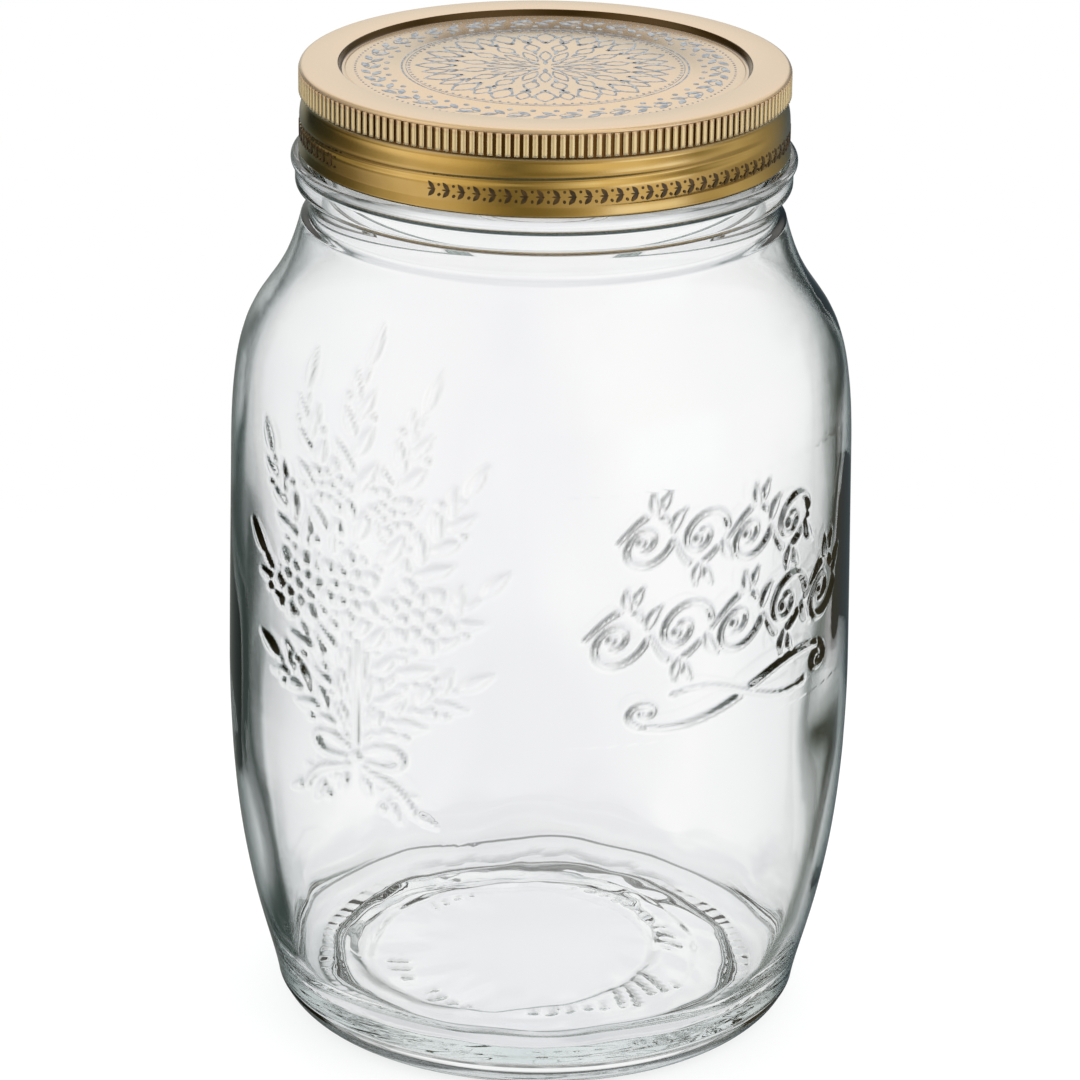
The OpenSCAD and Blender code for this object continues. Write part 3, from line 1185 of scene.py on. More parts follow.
    def _finish(self, skin: Skin) -> None:
        """Lay the neck, its two rings, the threaded finish and the lip.

        Args:
            skin: The skin so far.
        """
        end = (self.neck_r + 1.6, self.crease_z - 0.5)
        collar_high = self.cap_z - self.cap_gap
        collar_low = collar_high - self.collar_h
        bead_high = collar_low - self.ring_gap
        bead_low = bead_high - self.bead_h
        neck = chain(
            curve(end, toward(end, -self.shoulder_slope, 0.5), (self.neck_r + 0.1, self.crease_z + 0.1),
                  (self.neck_r, self.crease_z + 1.2), 8),
            [(self.neck_r, bead_low - 0.5)],
            self._ring_path(self.neck_r + 0.5, self.bead_r, bead_low, bead_high, 1.3, 0.5),
            self._ring_path(self.bead_r - 0.5, self.collar_r, collar_low, collar_high, 0.9, 0.9),
            [(self.finish_r + 0.4, collar_high), (self.finish_r, collar_high + 0.4)],
        )
        turns = round_turns(160)
        # Painted shade where the glass folds in under each ring, and at the sides of the collar.
        flanks = smooth(np.abs(np.sin(turns)), 0.4, 0.7) * (1 - smooth(np.abs(np.sin(turns)), 0.9, 0.98))
        for radius, height in crisp(neck)[1:]:
            painted_shade = max(1 - smooth(height - fold, reach, 1.6 * reach) if height > fold - 0.4 else 0.0
                       for fold, reach in ((bead_low, 0.34), (collar_low, 0.26)))
            side = 0.6 * flanks if height > collar_low + 0.3 else 0.0
            skin.ring(turns, radius, height, np.maximum(painted_shade, side))
        for height in np.arange(collar_high + 0.7, self.lip_z - self.lip_round - 0.2, 0.5):
            skin.ring(turns, self.finish_r + self._thread(turns, height), height)
        lip = chain(
            arc((self.finish_r - self.lip_round, self.lip_z - self.lip_round), self.lip_round, 0, 90),
            arc((self.mouth_r + self.lip_round, self.lip_z - self.lip_round), self.lip_round, 90, 180),
        )
        for radius, height in lip:
            skin.ring(turns, radius, height)

    def _thread(self, turns: Array, height: float) -> Array:
        """Return how far the screw thread stands out at one height.

        Args:
            turns: Angles round the finish.
            height: Height in mm.

        Returns:
            Height of the thread above its root, in mm.
        """
        half = self.thread_half
        ridges = [full * (1 - smooth(np.abs(above), 0.15 * half, 1.6 * half))
                  for above, full in self.thread.windings(turns, height)]
        return (self.thread_crest - self.finish_r) * np.max(ridges, axis=0)

    # The inside

    def _cavity(self) -> Path:
        """Draw the inside.

        Returns:
            Its outline, from the mouth down to the middle of the floor.
        """
        body = self._body()
        points = np.asarray(body)
        thinned = smooth(points[:, 1], self.thick_to, self.thin_from)
        thickness = self.heel_wall + (self.wall - self.heel_wall) * thinned
        wall = (points + left_normals(body) * thickness[:, None])[::-1]
        wall = [tuple(point) for point in wall if point[1] > self.floor_top + 0.2]
        mouth = (self.mouth_r, self.lip_z - self.bore_h)
        top, foot = wall[0], wall[-1]
        floor_z = self.punt_h + self.floor_t
        edge = (self.bearing_in - 5, floor_z - 1.4)
        return chain(
            curve(mouth, (mouth[0], mouth[1] - 5), toward(top, -self.shoulder_slope, 4), top, 30),
            wall,
            curve(foot, toward(foot, self.heel_slope + 12, -6), (edge[0] + 6, edge[1] - 0.2), edge, 30),
            curve(edge, (edge[0] - 6, edge[1] + 0.4), (self.punt_r * 0.5, floor_z), (0, floor_z), 30),
        )

    def _inside(self, skin: Skin) -> None:
        """Lay the inside from the mouth down to the middle of the floor, uneven as blown glass is.

        Args:
            skin: The skin so far.
        """
        path = self._cavity()
        upper = [point for point in path if point[1] > self.floor_top]
        lower = [point for point in path if point[1] <= self.floor_top]
        turns = round_turns(132)
        waves = ((0.24, 7, 0.2, 0.6), (0.18, 11, -0.3, 2.0), (0.14, 17, 0.5, 3.1), (0.08, 29, 0.4, 1.2))
        ragged = 0.5 * ripple(turns, 0.0, ((1.0, 23, 0.0, 0.0), (0.8, 37, 0.0, 1.0)))
        behind = smooth(-np.cos(turns + 0.12), 0.55, 0.9)
        left = smooth(np.cos(turns + 0.85), 0.88, 0.98)
        for radius, height in along_length(upper, 3.0) + along_length(lower, 1.0)[:-1]:
            gather = float((1 - smooth(height, 9.0, 24.0)) * smooth(radius, 12.0, 34.0))
            uneven = gather * (0.4 + 0.6 * smooth(-np.cos(turns), -0.6, 0.2)) * ripple(turns, height, waves)
            on_floor = height < self.floor_top + 1.0
            # The gather lay coldest at the back of the mould, where the floor meets the wall in a fold.
            fold = on_floor * behind * (1 - smooth(np.abs(radius - 36.0 + ragged), 0.5, 1.4))
            # The blow left a shallow dish in the floor, a little off the axis.
            off = np.hypot(radius * np.sin(turns) + self.dish_shift, radius * np.cos(turns)) - self.dish_r
            dish = on_floor * self.dish_h * (1 - smooth(off, -1.3, 1.3))
            rim = on_floor * left * (1 - smooth(np.abs(off - 0.5), 0.8, 2.2))
            drift = self.lopsided * float(smooth(height, 20.0, 60.0) * (1 - smooth(height, 120.0, 140.0)))
            uneven = uneven - drift * np.sin(turns) - 2.0 * self._flow(turns + 0.7, height)
            sag = 0.6 * gather * ripple(turns + 1.3, radius, waves) - 0.4 * fold - dish
            # Painted shade along the fold at the back and on the left part of the dish's rim.
            skin.ring(turns, radius + uneven, height + sag, np.maximum(0.5 * fold, 0.7 * rim))
        skin.pole(path[-1][1] - self.dish_h)


# ---- Motifs grown with geometry nodes ---------------------------------------


class Motif(Enum):
    """What a ring of motifs repeats."""

    FILLED = "filled"
    OUTLINE = "outline"
    RIB = "rib"


@dataclass
class RingTree:
    """A node tree that repeats one motif round the cap's axis."""

    motif: Motif
    material: bpy.types.Material
    tree: bpy.types.NodeTree = field(init=False)
    size: dict[str, bpy.types.NodeSocket] = field(init=False)

    def __post_init__(self) -> None:
        """Build the tree with its named inputs."""
        self.tree = bpy.data.node_groups.new(f"ring_of_{self.motif.value}", "GeometryNodeTree")
        face = self.tree.interface
        face.new_socket("Geometry", in_out="OUTPUT", socket_type="NodeSocketGeometry")
        for name in ("Count", "Sides"):
            face.new_socket(name, in_out="INPUT", socket_type="NodeSocketInt")
        for name in ("Start", "Step", "Radius", "Height", "Length", "Width", "Thickness", "Point",
                     "Lean", "Tilt", "Line"):
            face.new_socket(name, in_out="INPUT", socket_type="NodeSocketFloat")
        self.size = {socket.name: socket for socket in add_node(self.tree, "NodeGroupInput").outputs}
        build = {Motif.FILLED: self._filled, Motif.OUTLINE: self._outline, Motif.RIB: self._rib}
        self._repeat(build[self.motif]())

    def _leaf_shape(self, geometry: bpy.types.NodeSocket) -> bpy.types.Node:
        """Turn a unit circle into a pointed leaf of the tree's length and width.

        Args:
            geometry: The circle, flat or as a plate.

        Returns:
            The node that shapes it.
        """
        place = add_node(self.tree, "GeometryNodeInputPosition")
        along = add_node(self.tree, "ShaderNodeSeparateXYZ", {0: place}).outputs["X"]
        square = add_node(self.tree, "ShaderNodeMath", {0: along, 1: along}, operation="MULTIPLY")
        bite = add_node(self.tree, "ShaderNodeMath", {0: square, 1: self.size["Point"]}, operation="MULTIPLY")
        taper = add_node(self.tree, "ShaderNodeMath", {0: 1.0, 1: bite}, operation="SUBTRACT")
        pointed = add_node(self.tree, "ShaderNodeCombineXYZ", {0: 1.0, 1: taper, 2: 1.0})
        sizes = add_node(self.tree, "ShaderNodeCombineXYZ", {
            0: self.size["Length"], 1: self.size["Width"], 2: self.size["Thickness"]})
        # A unit circle is two across, so its length and its width are halved.
        for factor in (pointed, sizes, (0.5, 0.5, 1.0)):
            place = add_node(self.tree, "ShaderNodeVectorMath", {0: place, 1: factor}, operation="MULTIPLY")
        return add_node(self.tree, "GeometryNodeSetPosition", {"Geometry": geometry, "Position": place})

    def _filled(self) -> bpy.types.Node:
        """Make a thin closed leaf.

        Returns:
            The node that makes it.
        """
        plate = add_node(self.tree, "GeometryNodeMeshCylinder",
                         {"Vertices": self.size["Sides"], "Radius": 1.0, "Depth": 1.0})
        return self._leaf_shape(plate.outputs["Mesh"])

    def _outline(self) -> bpy.types.Node:
        """Make the thin closed outline of a leaf.

        Returns:
            The node that makes it.
        """
        ring = add_node(self.tree, "GeometryNodeCurvePrimitiveCircle", {"Resolution": self.size["Sides"]})
        half = add_node(self.tree, "ShaderNodeMath", {0: self.size["Line"], 1: 0.5}, operation="MULTIPLY")
        pen = add_node(self.tree, "GeometryNodeCurvePrimitiveCircle", {"Resolution": 4, "Radius": half})
        line = add_node(self.tree, "GeometryNodeCurveToMesh", {
            "Curve": self._leaf_shape(ring.outputs["Curve"]), "Profile Curve": pen.outputs["Curve"]})
        return add_node(self.tree, "GeometryNodeTransform", {"Geometry": line, "Scale": (1.0, 1.0, 0.35)})

    def _rib(self) -> bpy.types.Node:
        """Make one pressed grip rib: a flat-topped bar with rounded edges and ends.

        Returns:
            The node that makes it.
        """
        shares = {"low": ("Length", -0.5), "high": ("Length", 0.5), "tall": ("Thickness", 2.0),
                  "foot": ("Width", 1.0), "top": ("Width", 0.74), "edge": ("Width", 0.16)}
        part = {
            name: add_node(self.tree, "ShaderNodeMath", {0: self.size[size], 1: share}, operation="MULTIPLY")
            for name, (size, share) in shares.items()}
        low, high = (add_node(self.tree, "ShaderNodeCombineXYZ", {2: part[end]}) for end in ("low", "high"))
        spine = add_node(self.tree, "GeometryNodeCurvePrimitiveLine", {"Start": low, "End": high})
        steps = add_node(self.tree, "GeometryNodeResampleCurve", {"Curve": spine, "Count": 7})
        # The bar keeps its full section along most of its length and rounds off at its ends.
        run = add_node(self.tree, "GeometryNodeSplineParameter").outputs["Factor"]
        ends = add_node(self.tree, "ShaderNodeMath", {0: run, 1: 0.5, 2: 0.5}, operation="PINGPONG")
        full = add_node(self.tree, "ShaderNodeMapRange", {0: ends, 1: 0.0, 2: 0.17, 3: 0.3, 4: 1.0},
                        interpolation_type="SMOOTHERSTEP")
        bar = add_node(self.tree, "GeometryNodeSetCurveRadius", {"Curve": steps, "Radius": full})
        section = add_node(self.tree, "GeometryNodeCurvePrimitiveQuadrilateral", {
            "Height": part["tall"], "Bottom Width": part["foot"], "Top Width": part["top"], "Offset": 0.0,
        }, mode="TRAPEZOID")
        rounded = add_node(self.tree, "GeometryNodeFilletCurve",
                           {"Curve": section, "Count": 1, "Radius": part["edge"]}, mode="POLY")
        return add_node(self.tree, "GeometryNodeCurveToMesh",
                        {"Curve": bar, "Profile Curve": rounded, "Fill Caps": True})

    def _repeat(self, motif: bpy.types.Node) -> None:
        """Place the motif at its radius and height, repeat it and end the tree.

        Args:
            motif: The node that makes the motif, round its own middle.
        """
        lean = add_node(self.tree, "ShaderNodeCombineXYZ", {2: self.size["Lean"]})
        leaning = add_node(self.tree, "GeometryNodeTransform", {"Geometry": motif, "Rotation": lean})
        tilt = add_node(self.tree, "ShaderNodeCombineXYZ", {1: self.size["Tilt"]})
        spot = add_node(self.tree, "ShaderNodeCombineXYZ", {0: self.size["Radius"], 2: self.size["Height"]})
        placed = add_node(self.tree, "GeometryNodeTransform",
                          {"Geometry": leaning, "Rotation": tilt, "Translation": spot})
        points = add_node(self.tree, "GeometryNodePoints", {"Count": self.size["Count"]})
        index = add_node(self.tree, "GeometryNodeInputIndex")
        turn = add_node(self.tree, "ShaderNodeMath", {
            0: index, 1: self.size["Step"], 2: self.size["Start"]}, operation="MULTIPLY_ADD")
        spin = add_node(self.tree, "ShaderNodeCombineXYZ", {2: turn})
        copies = add_node(self.tree, "GeometryNodeInstanceOnPoints", {
            "Points": points, "Instance": placed,
            "Rotation": add_node(self.tree, "FunctionNodeEulerToRotation", {0: spin})})
        real = add_node(self.tree, "GeometryNodeRealizeInstances", {"Geometry": copies})
        dressed = add_node(self.tree, "GeometryNodeSetMaterial",
                           {"Geometry": real, "Material": self.material})
        add_node(self.tree, "NodeGroupOutput", {"Geometry": dressed})

    def grow(self, sizes: dict[str, float]) -> bpy.types.Mesh:
        """Run the tree once.

        Args:
            sizes: Values of its named inputs, lengths in metres and angles in radians.

        Returns:
            The plain mesh that it makes.
        """
        carrier = bpy.data.objects.new("carrier", bpy.data.meshes.new("carrier"))
        bpy.context.scene.collection.objects.link(carrier)
        modifier = carrier.modifiers.new("grow", "NODES")
        modifier.node_group = self.tree
        for item in self.tree.interface.items_tree:
            if item.in_out == "INPUT":
                value = sizes.get(item.name, 0)
                whole = item.socket_type == "NodeSocketInt"
                modifier[item.identifier] = int(value) if whole else float(value)
        evaluated = carrier.evaluated_get(bpy.context.evaluated_depsgraph_get())
        mesh = bpy.data.meshes.new_from_object(evaluated)
        carrier.modifiers.remove(modifier)
        bpy.data.objects.remove(carrier)
        return mesh


def gather(name: str, meshes: list[bpy.types.Mesh], material: bpy.types.Material) -> bpy.types.Object:
    """Put several meshes into one piece.

    Args:
        name: Name of the piece.
        meshes: The meshes, which are used up.
        material: The finish of the piece.

    Returns:
        The piece.
    """
    points: list[Array] = []
    faces: list[tuple[int, ...]] = []
    size = 0
    for mesh in meshes:
        places = np.empty(len(mesh.vertices) * 3)
        mesh.vertices.foreach_get("co", places)
        points.append(places.reshape(-1, 3))
        faces += [tuple(size + corner for corner in polygon.vertices) for polygon in mesh.polygons]
        size += len(mesh.vertices)
        bpy.data.meshes.remove(mesh)
    whole = bpy.data.meshes.new(name)
    whole.from_pydata(np.concatenate(points), [], faces)
    return link_piece(name, whole, material)


# ---- Screw cap ---------------------------------------------------------------


@dataclass
class ScrewCap:
    """The one-piece drawn cap: land, sunk panel, ribs, rolled thread, curled edge and print."""

    cap_r: float = 41.4
    sheet: float = 0.25
    rib_count: int = 176
    rib_depth: float = 0.45
    rib_h: float = 3.8
    recess_r: float = 34.65
    recess_depth: float = 1.0
    step_r: float = 25.0
    step_h: float = 0.15
    foot_groove: float = 0.1
    corner_r: float = 0.7
    curl_r: float = 0.55
    thread: Helix = Helix(z=161.2, first=-405.0, last=68.0, fades=(30.0, 26.0))
    thread_depth: float = 0.5
    thread_half: float = 0.62
    thread_swell: float = 0.05
    print_film: float = 0.03
    print_z: float = 158.85
    vine_leaves: int = 92
    vine_pitch: float = 3.6
    vine_first: float = -116.0
    low: float = field(init=False)
    high: float = field(init=False)
    panel_z: float = field(init=False)
    rib_high: float = field(init=False)
    rib_low: float = field(init=False)
    rib_root: float = field(init=False)

    def __post_init__(self) -> None:
        """Take the cap's height from the frame, and work out where the panel and the ribs lie."""
        self.low, self.high = (corner.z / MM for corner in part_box("screw_cap"))
        self.panel_z = self.high - self.recess_depth
        self.rib_high = self.high - self.corner_r - 0.1
        self.rib_low = self.rib_high - self.rib_h
        self.rib_root = self.cap_r - self.rib_depth

    def build(self, metal: bpy.types.Material, grey_ink: bpy.types.Material,
              brown_ink: bpy.types.Material) -> list[bpy.types.Object]:
        """Build the cap.

        Args:
            metal: The lacquered tinplate.
            grey_ink: Ink of the panel.
            brown_ink: Ink of the skirt.

        Returns:
            The sheet, the ribs and the two prints.
        """
        return [
            self._sheet(metal), self._ribs(metal), self._panel_print(grey_ink), self._skirt_print(brown_ink),
        ]

    def _outside(self) -> Path:
        """Draw the outside of the sheet.

        Returns:
            Its outline, from the middle of the panel to the curled edge.
        """
        panel_z, high, low = self.panel_z, self.high, self.low
        foot_r = self.recess_r - 0.4
        groove_z = self.rib_low - 0.8
        groove_r = self.rib_root - 0.4
        skirt_r = self.cap_r - 0.05
        swell_z = groove_z - 4.7
        waist = (self.cap_r - 0.25, low + 1.75)
        curl_c = (self.cap_r + 0.15 - self.curl_r, low + self.curl_r)
        top = chain(
            [(0.0, panel_z + self.step_h), (6.0, panel_z + self.step_h), (15.0, panel_z + self.step_h),
             (self.step_r - 0.4, panel_z + self.step_h), (self.step_r + 0.1, panel_z)],
            [(foot_r - 0.8, panel_z), (foot_r - 0.55, panel_z - self.foot_groove)],
            [(foot_r - 0.1, panel_z - self.foot_groove), (foot_r + 0.05, panel_z)],
            arc((self.recess_r + 0.3, high - 0.3), 0.3, 175, 90, 6),
            arc((self.cap_r - 0.1 - self.corner_r, high - self.corner_r), self.corner_r, 90, 0, 10),
            [(self.rib_root, self.rib_high - 0.1), (self.rib_root, self.rib_low)],
            curve((self.rib_root - 0.1, groove_z + 0.5), (groove_r, groove_z + 0.3),
                  (groove_r, groove_z - 0.4), (groove_r + 0.1, groove_z - 0.6), 8),
        )
        skirt = chain(
            curve((groove_r + 0.1, groove_z - 0.6), (skirt_r - 0.1, groove_z - 1.8),
                  (skirt_r, swell_z + 1.5), (skirt_r, swell_z), 30),
            curve((skirt_r, swell_z), (skirt_r, swell_z - 1.5), (waist[0], waist[1] + 0.6), waist, 20),
        )
        return chain(crisp(top), along_length(skirt, 0.2), arc(curl_c, self.curl_r, 10, -235, 16))

    def _thread(self, turns: Array, height: float) -> Array:
        """Find how far the rolled thread draws the sheet in, and swells it below, at one height.

        Args:
            turns: Angles round the cap.
            height: Height in mm.

        Returns:
            Change of radius in mm, none at the curl and the ribs.
        """
        drawn = np.zeros_like(turns)
        for above, full in self.thread.windings(turns, height):
            place = above / self.thread_half
            drawn += full * (self.thread_swell * np.exp(-((place + 1.9) ** 2)) - np.exp(-(place**2)))
        curl = 1 - smooth(height, self.low + 1.1, self.low + 1.9)
        ribs = smooth(height, self.rib_low - 1.4, self.rib_low - 0.6)
        return drawn * self.thread_depth * (1 - curl) * (1 - ribs)

    def _sheet(self, metal: bpy.types.Material) -> bpy.types.Object:
        """Build the sheet: along its inside from the middle to the curl, then back along its outside.

        Args:
            metal: The lacquered tinplate.

        Returns:
            The sheet.
        """
        outside = self._outside()
        inside = np.asarray(outside) - self.sheet * left_normals(outside)
        skin = Skin()
        turns = round_turns(256)
        skin.pole(inside[0][1])
        for (radius, height), (_, outer_height) in list(zip(inside, outside))[1:]:
            skin.ring(turns, radius + self._thread(turns, outer_height), height)
        for radius, height in outside[:0:-1]:
            skin.ring(turns, radius + self._thread(turns, height), height)
        skin.pole(outside[0][1])
        return skin.piece("gold_cap_sheet", metal)

    def _ribs(self, metal: bpy.types.Material) -> bpy.types.Object:
        """Build the crown of grip ribs.

        Args:
            metal: The lacquered tinplate.

        Returns:
            The ribs as one piece.
        """
        pitch = TAU * self.cap_r / self.rib_count
        tree = RingTree(Motif.RIB, metal)
        mesh = tree.grow({
            "Count": self.rib_count, "Step": TAU / self.rib_count, "Radius": self.rib_root * MM,
            "Height": (self.rib_high - self.rib_h / 2) * MM, "Length": self.rib_h * MM,
            "Width": 0.66 * pitch * MM, "Thickness": self.rib_depth * MM, "Lean": math.pi / 2,
        })
        piece = gather("gold_cap_ribs", [mesh], metal)
        piece.data.shade_smooth()
        return piece

    def _flat(self, radius: float, count: int, length: float, width: float,
              **more: float) -> dict[str, float]:
        """Return the sizes of a ring of motifs that lies on the panel.

        Args:
            radius: Radius of the ring, in mm.
            count: Number of motifs.
            length: Length of a motif, in mm.
            width: Width of a motif, in mm.
            more: Lean in degrees, shift as a share of the pitch, point, line and sides.

        Returns:
            Values for the tree's named inputs.
        """
        ground = self.panel_z + (self.step_h if radius < self.step_r else 0.0)
        step = TAU / count
        return {
            "Count": count, "Sides": more.get("sides", 12), "Step": step,
            "Start": step * more.get("shift", 0.0), "Radius": radius * MM,
            "Height": (ground + self.print_film / 2) * MM, "Length": length * MM, "Width": width * MM,
            "Thickness": 2 * self.print_film * MM, "Point": more.get("point", 0.8),
            "Lean": math.radians(more.get("lean", 0.0)), "Line": more.get("line", 0.26) * MM,
        }

    def _panel_print(self, ink: bpy.types.Material) -> bpy.types.Object:
        """Print the panel: a rosette in the middle, and a garland between two beaded borders.

        Args:
            ink: The ink.

        Returns:
            The print.
        """
        filled = RingTree(Motif.FILLED, ink)
        outline = RingTree(Motif.OUTLINE, ink)
        filled_rings = [
            self._flat(2.6, 8, 2.6, 0.9),
            self._flat(9.2, 16, 2.8, 0.8, shift=0.5),
            self._flat(15.6, 32, 2.2, 0.8, lean=34, shift=0.1),
            self._flat(15.6, 32, 2.2, 0.8, lean=-34, shift=-0.1),
            self._flat(19.0, 32, 1.0, 1.0, point=0.0, shift=0.5),
            self._flat(22.9, 96, 0.5, 0.5, point=0.0),
            self._flat(28.5, 44, 3.0, 1.3, lean=52, shift=0.18),
            self._flat(30.2, 44, 3.0, 1.3, lean=118, shift=-0.12),
            self._flat(26.7, 44, 1.0, 1.0, point=0.0, shift=0.5),
            self._flat(31.9, 150, 0.4, 0.4, point=0.0),
        ]
        outline_rings = [
            self._flat(6.6, 16, 6.4, 2.0, line=0.34),
            self._flat(12.0, 16, 5.0, 2.6, shift=0.5, line=0.4),
            self._flat(18.6, 16, 6.2, 3.6, line=0.44),
            self._flat(18.6, 16, 4.6, 2.4, shift=0.5, line=0.4),
            self._flat(29.4, 22, 3.6, 2.2, lean=90, point=0.4),
            self._flat(0.0, 1, 48.2, 48.2, point=0.0, line=0.3, sides=160),
            self._flat(0.0, 1, 46.8, 46.8, point=0.0, line=0.16, sides=160),
        ]
        meshes = [filled.grow(sizes) for sizes in filled_rings]
        meshes += [outline.grow(sizes) for sizes in outline_rings]
        return gather("panel_print", meshes, ink)

    def _skirt_print(self, ink: bpy.types.Material) -> bpy.types.Object:
        """Print the skirt: a running vine of leaves and berries, which stops short of its own start.

        Args:
            ink: The ink.

        Returns:
            The print.
        """
        filled = RingTree(Motif.FILLED, ink)
        pitch = math.radians(self.vine_pitch)
        first = math.radians(self.vine_first)
        band = {
            "Count": self.vine_leaves, "Sides": 12, "Step": pitch, "Start": first,
            "Radius": (self.cap_r - 0.06) * MM, "Thickness": 0.14 * MM, "Tilt": math.pi / 2,
        }
        leaf = {"Length": 1.75 * MM, "Width": 0.78 * MM, "Point": 0.8}
        dot = {"Length": 0.5 * MM, "Width": 0.5 * MM, "Start": first + pitch / 2}
        stem = {"Length": 1.5 * MM, "Width": 0.3 * MM, "Point": 0.4, "Lean": math.pi / 2,
                "Height": self.print_z * MM}
        rows = [
            band | leaf | {"Height": (self.print_z + 0.62) * MM, "Lean": math.radians(42)},
            band | leaf | {"Height": (self.print_z - 0.62) * MM, "Lean": math.radians(-42)},
            band | dot | {"Height": (self.print_z + 0.85) * MM},
            band | dot | {"Height": (self.print_z - 0.85) * MM},
            band | stem,
        ]
        return gather("skirt_print", [filled.grow(sizes) for sizes in rows], ink)


# ---- Sealing ring ------------------------------------------------------------


@dataclass
class SealingRing:
    """The sealing compound flowed into the channel of the cap."""

    inner: float = 35.3
    outer: float = 40.15
    edge: float = 0.2
    dent: float = 0.12

    def build(self, material: bpy.types.Material) -> bpy.types.Object:
        """Build the ring, with the groove that the lip of the jar presses into it.

        Args:
            material: The compound.

        Returns:
            The ring.
        """
        low, high = (corner.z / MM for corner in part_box("sealing_ring"))
        middle = (self.inner + self.outer) / 2
        outline = chain(
            arc((self.inner + self.edge, low + self.edge), self.edge, 180, 270, 4),
            [(middle - 1.2, low), (middle - 0.7, low + self.dent), (middle + 0.7, low + self.dent),
             (middle + 1.2, low)],
            arc((self.outer - self.edge, low + self.edge), self.edge, 270, 360, 4),
            arc((self.outer - 0.05, high - 0.05), 0.05, 0, 90, 2),
            arc((self.inner + 0.05, high - 0.05), 0.05, 90, 180, 2),
        )
        skin = Skin()
        for radius, height in outline:
            skin.ring(round_turns(192), radius, height)
        skin.close()
        return skin.piece("flowed_sealing_ring", material)


# ---- Studio ------------------------------------------------------------------


@dataclass(frozen=True)
class Lamp:
    """A soft square lamp."""

    name: str
    place: tuple[float, float, float]
    side: float
    power: float


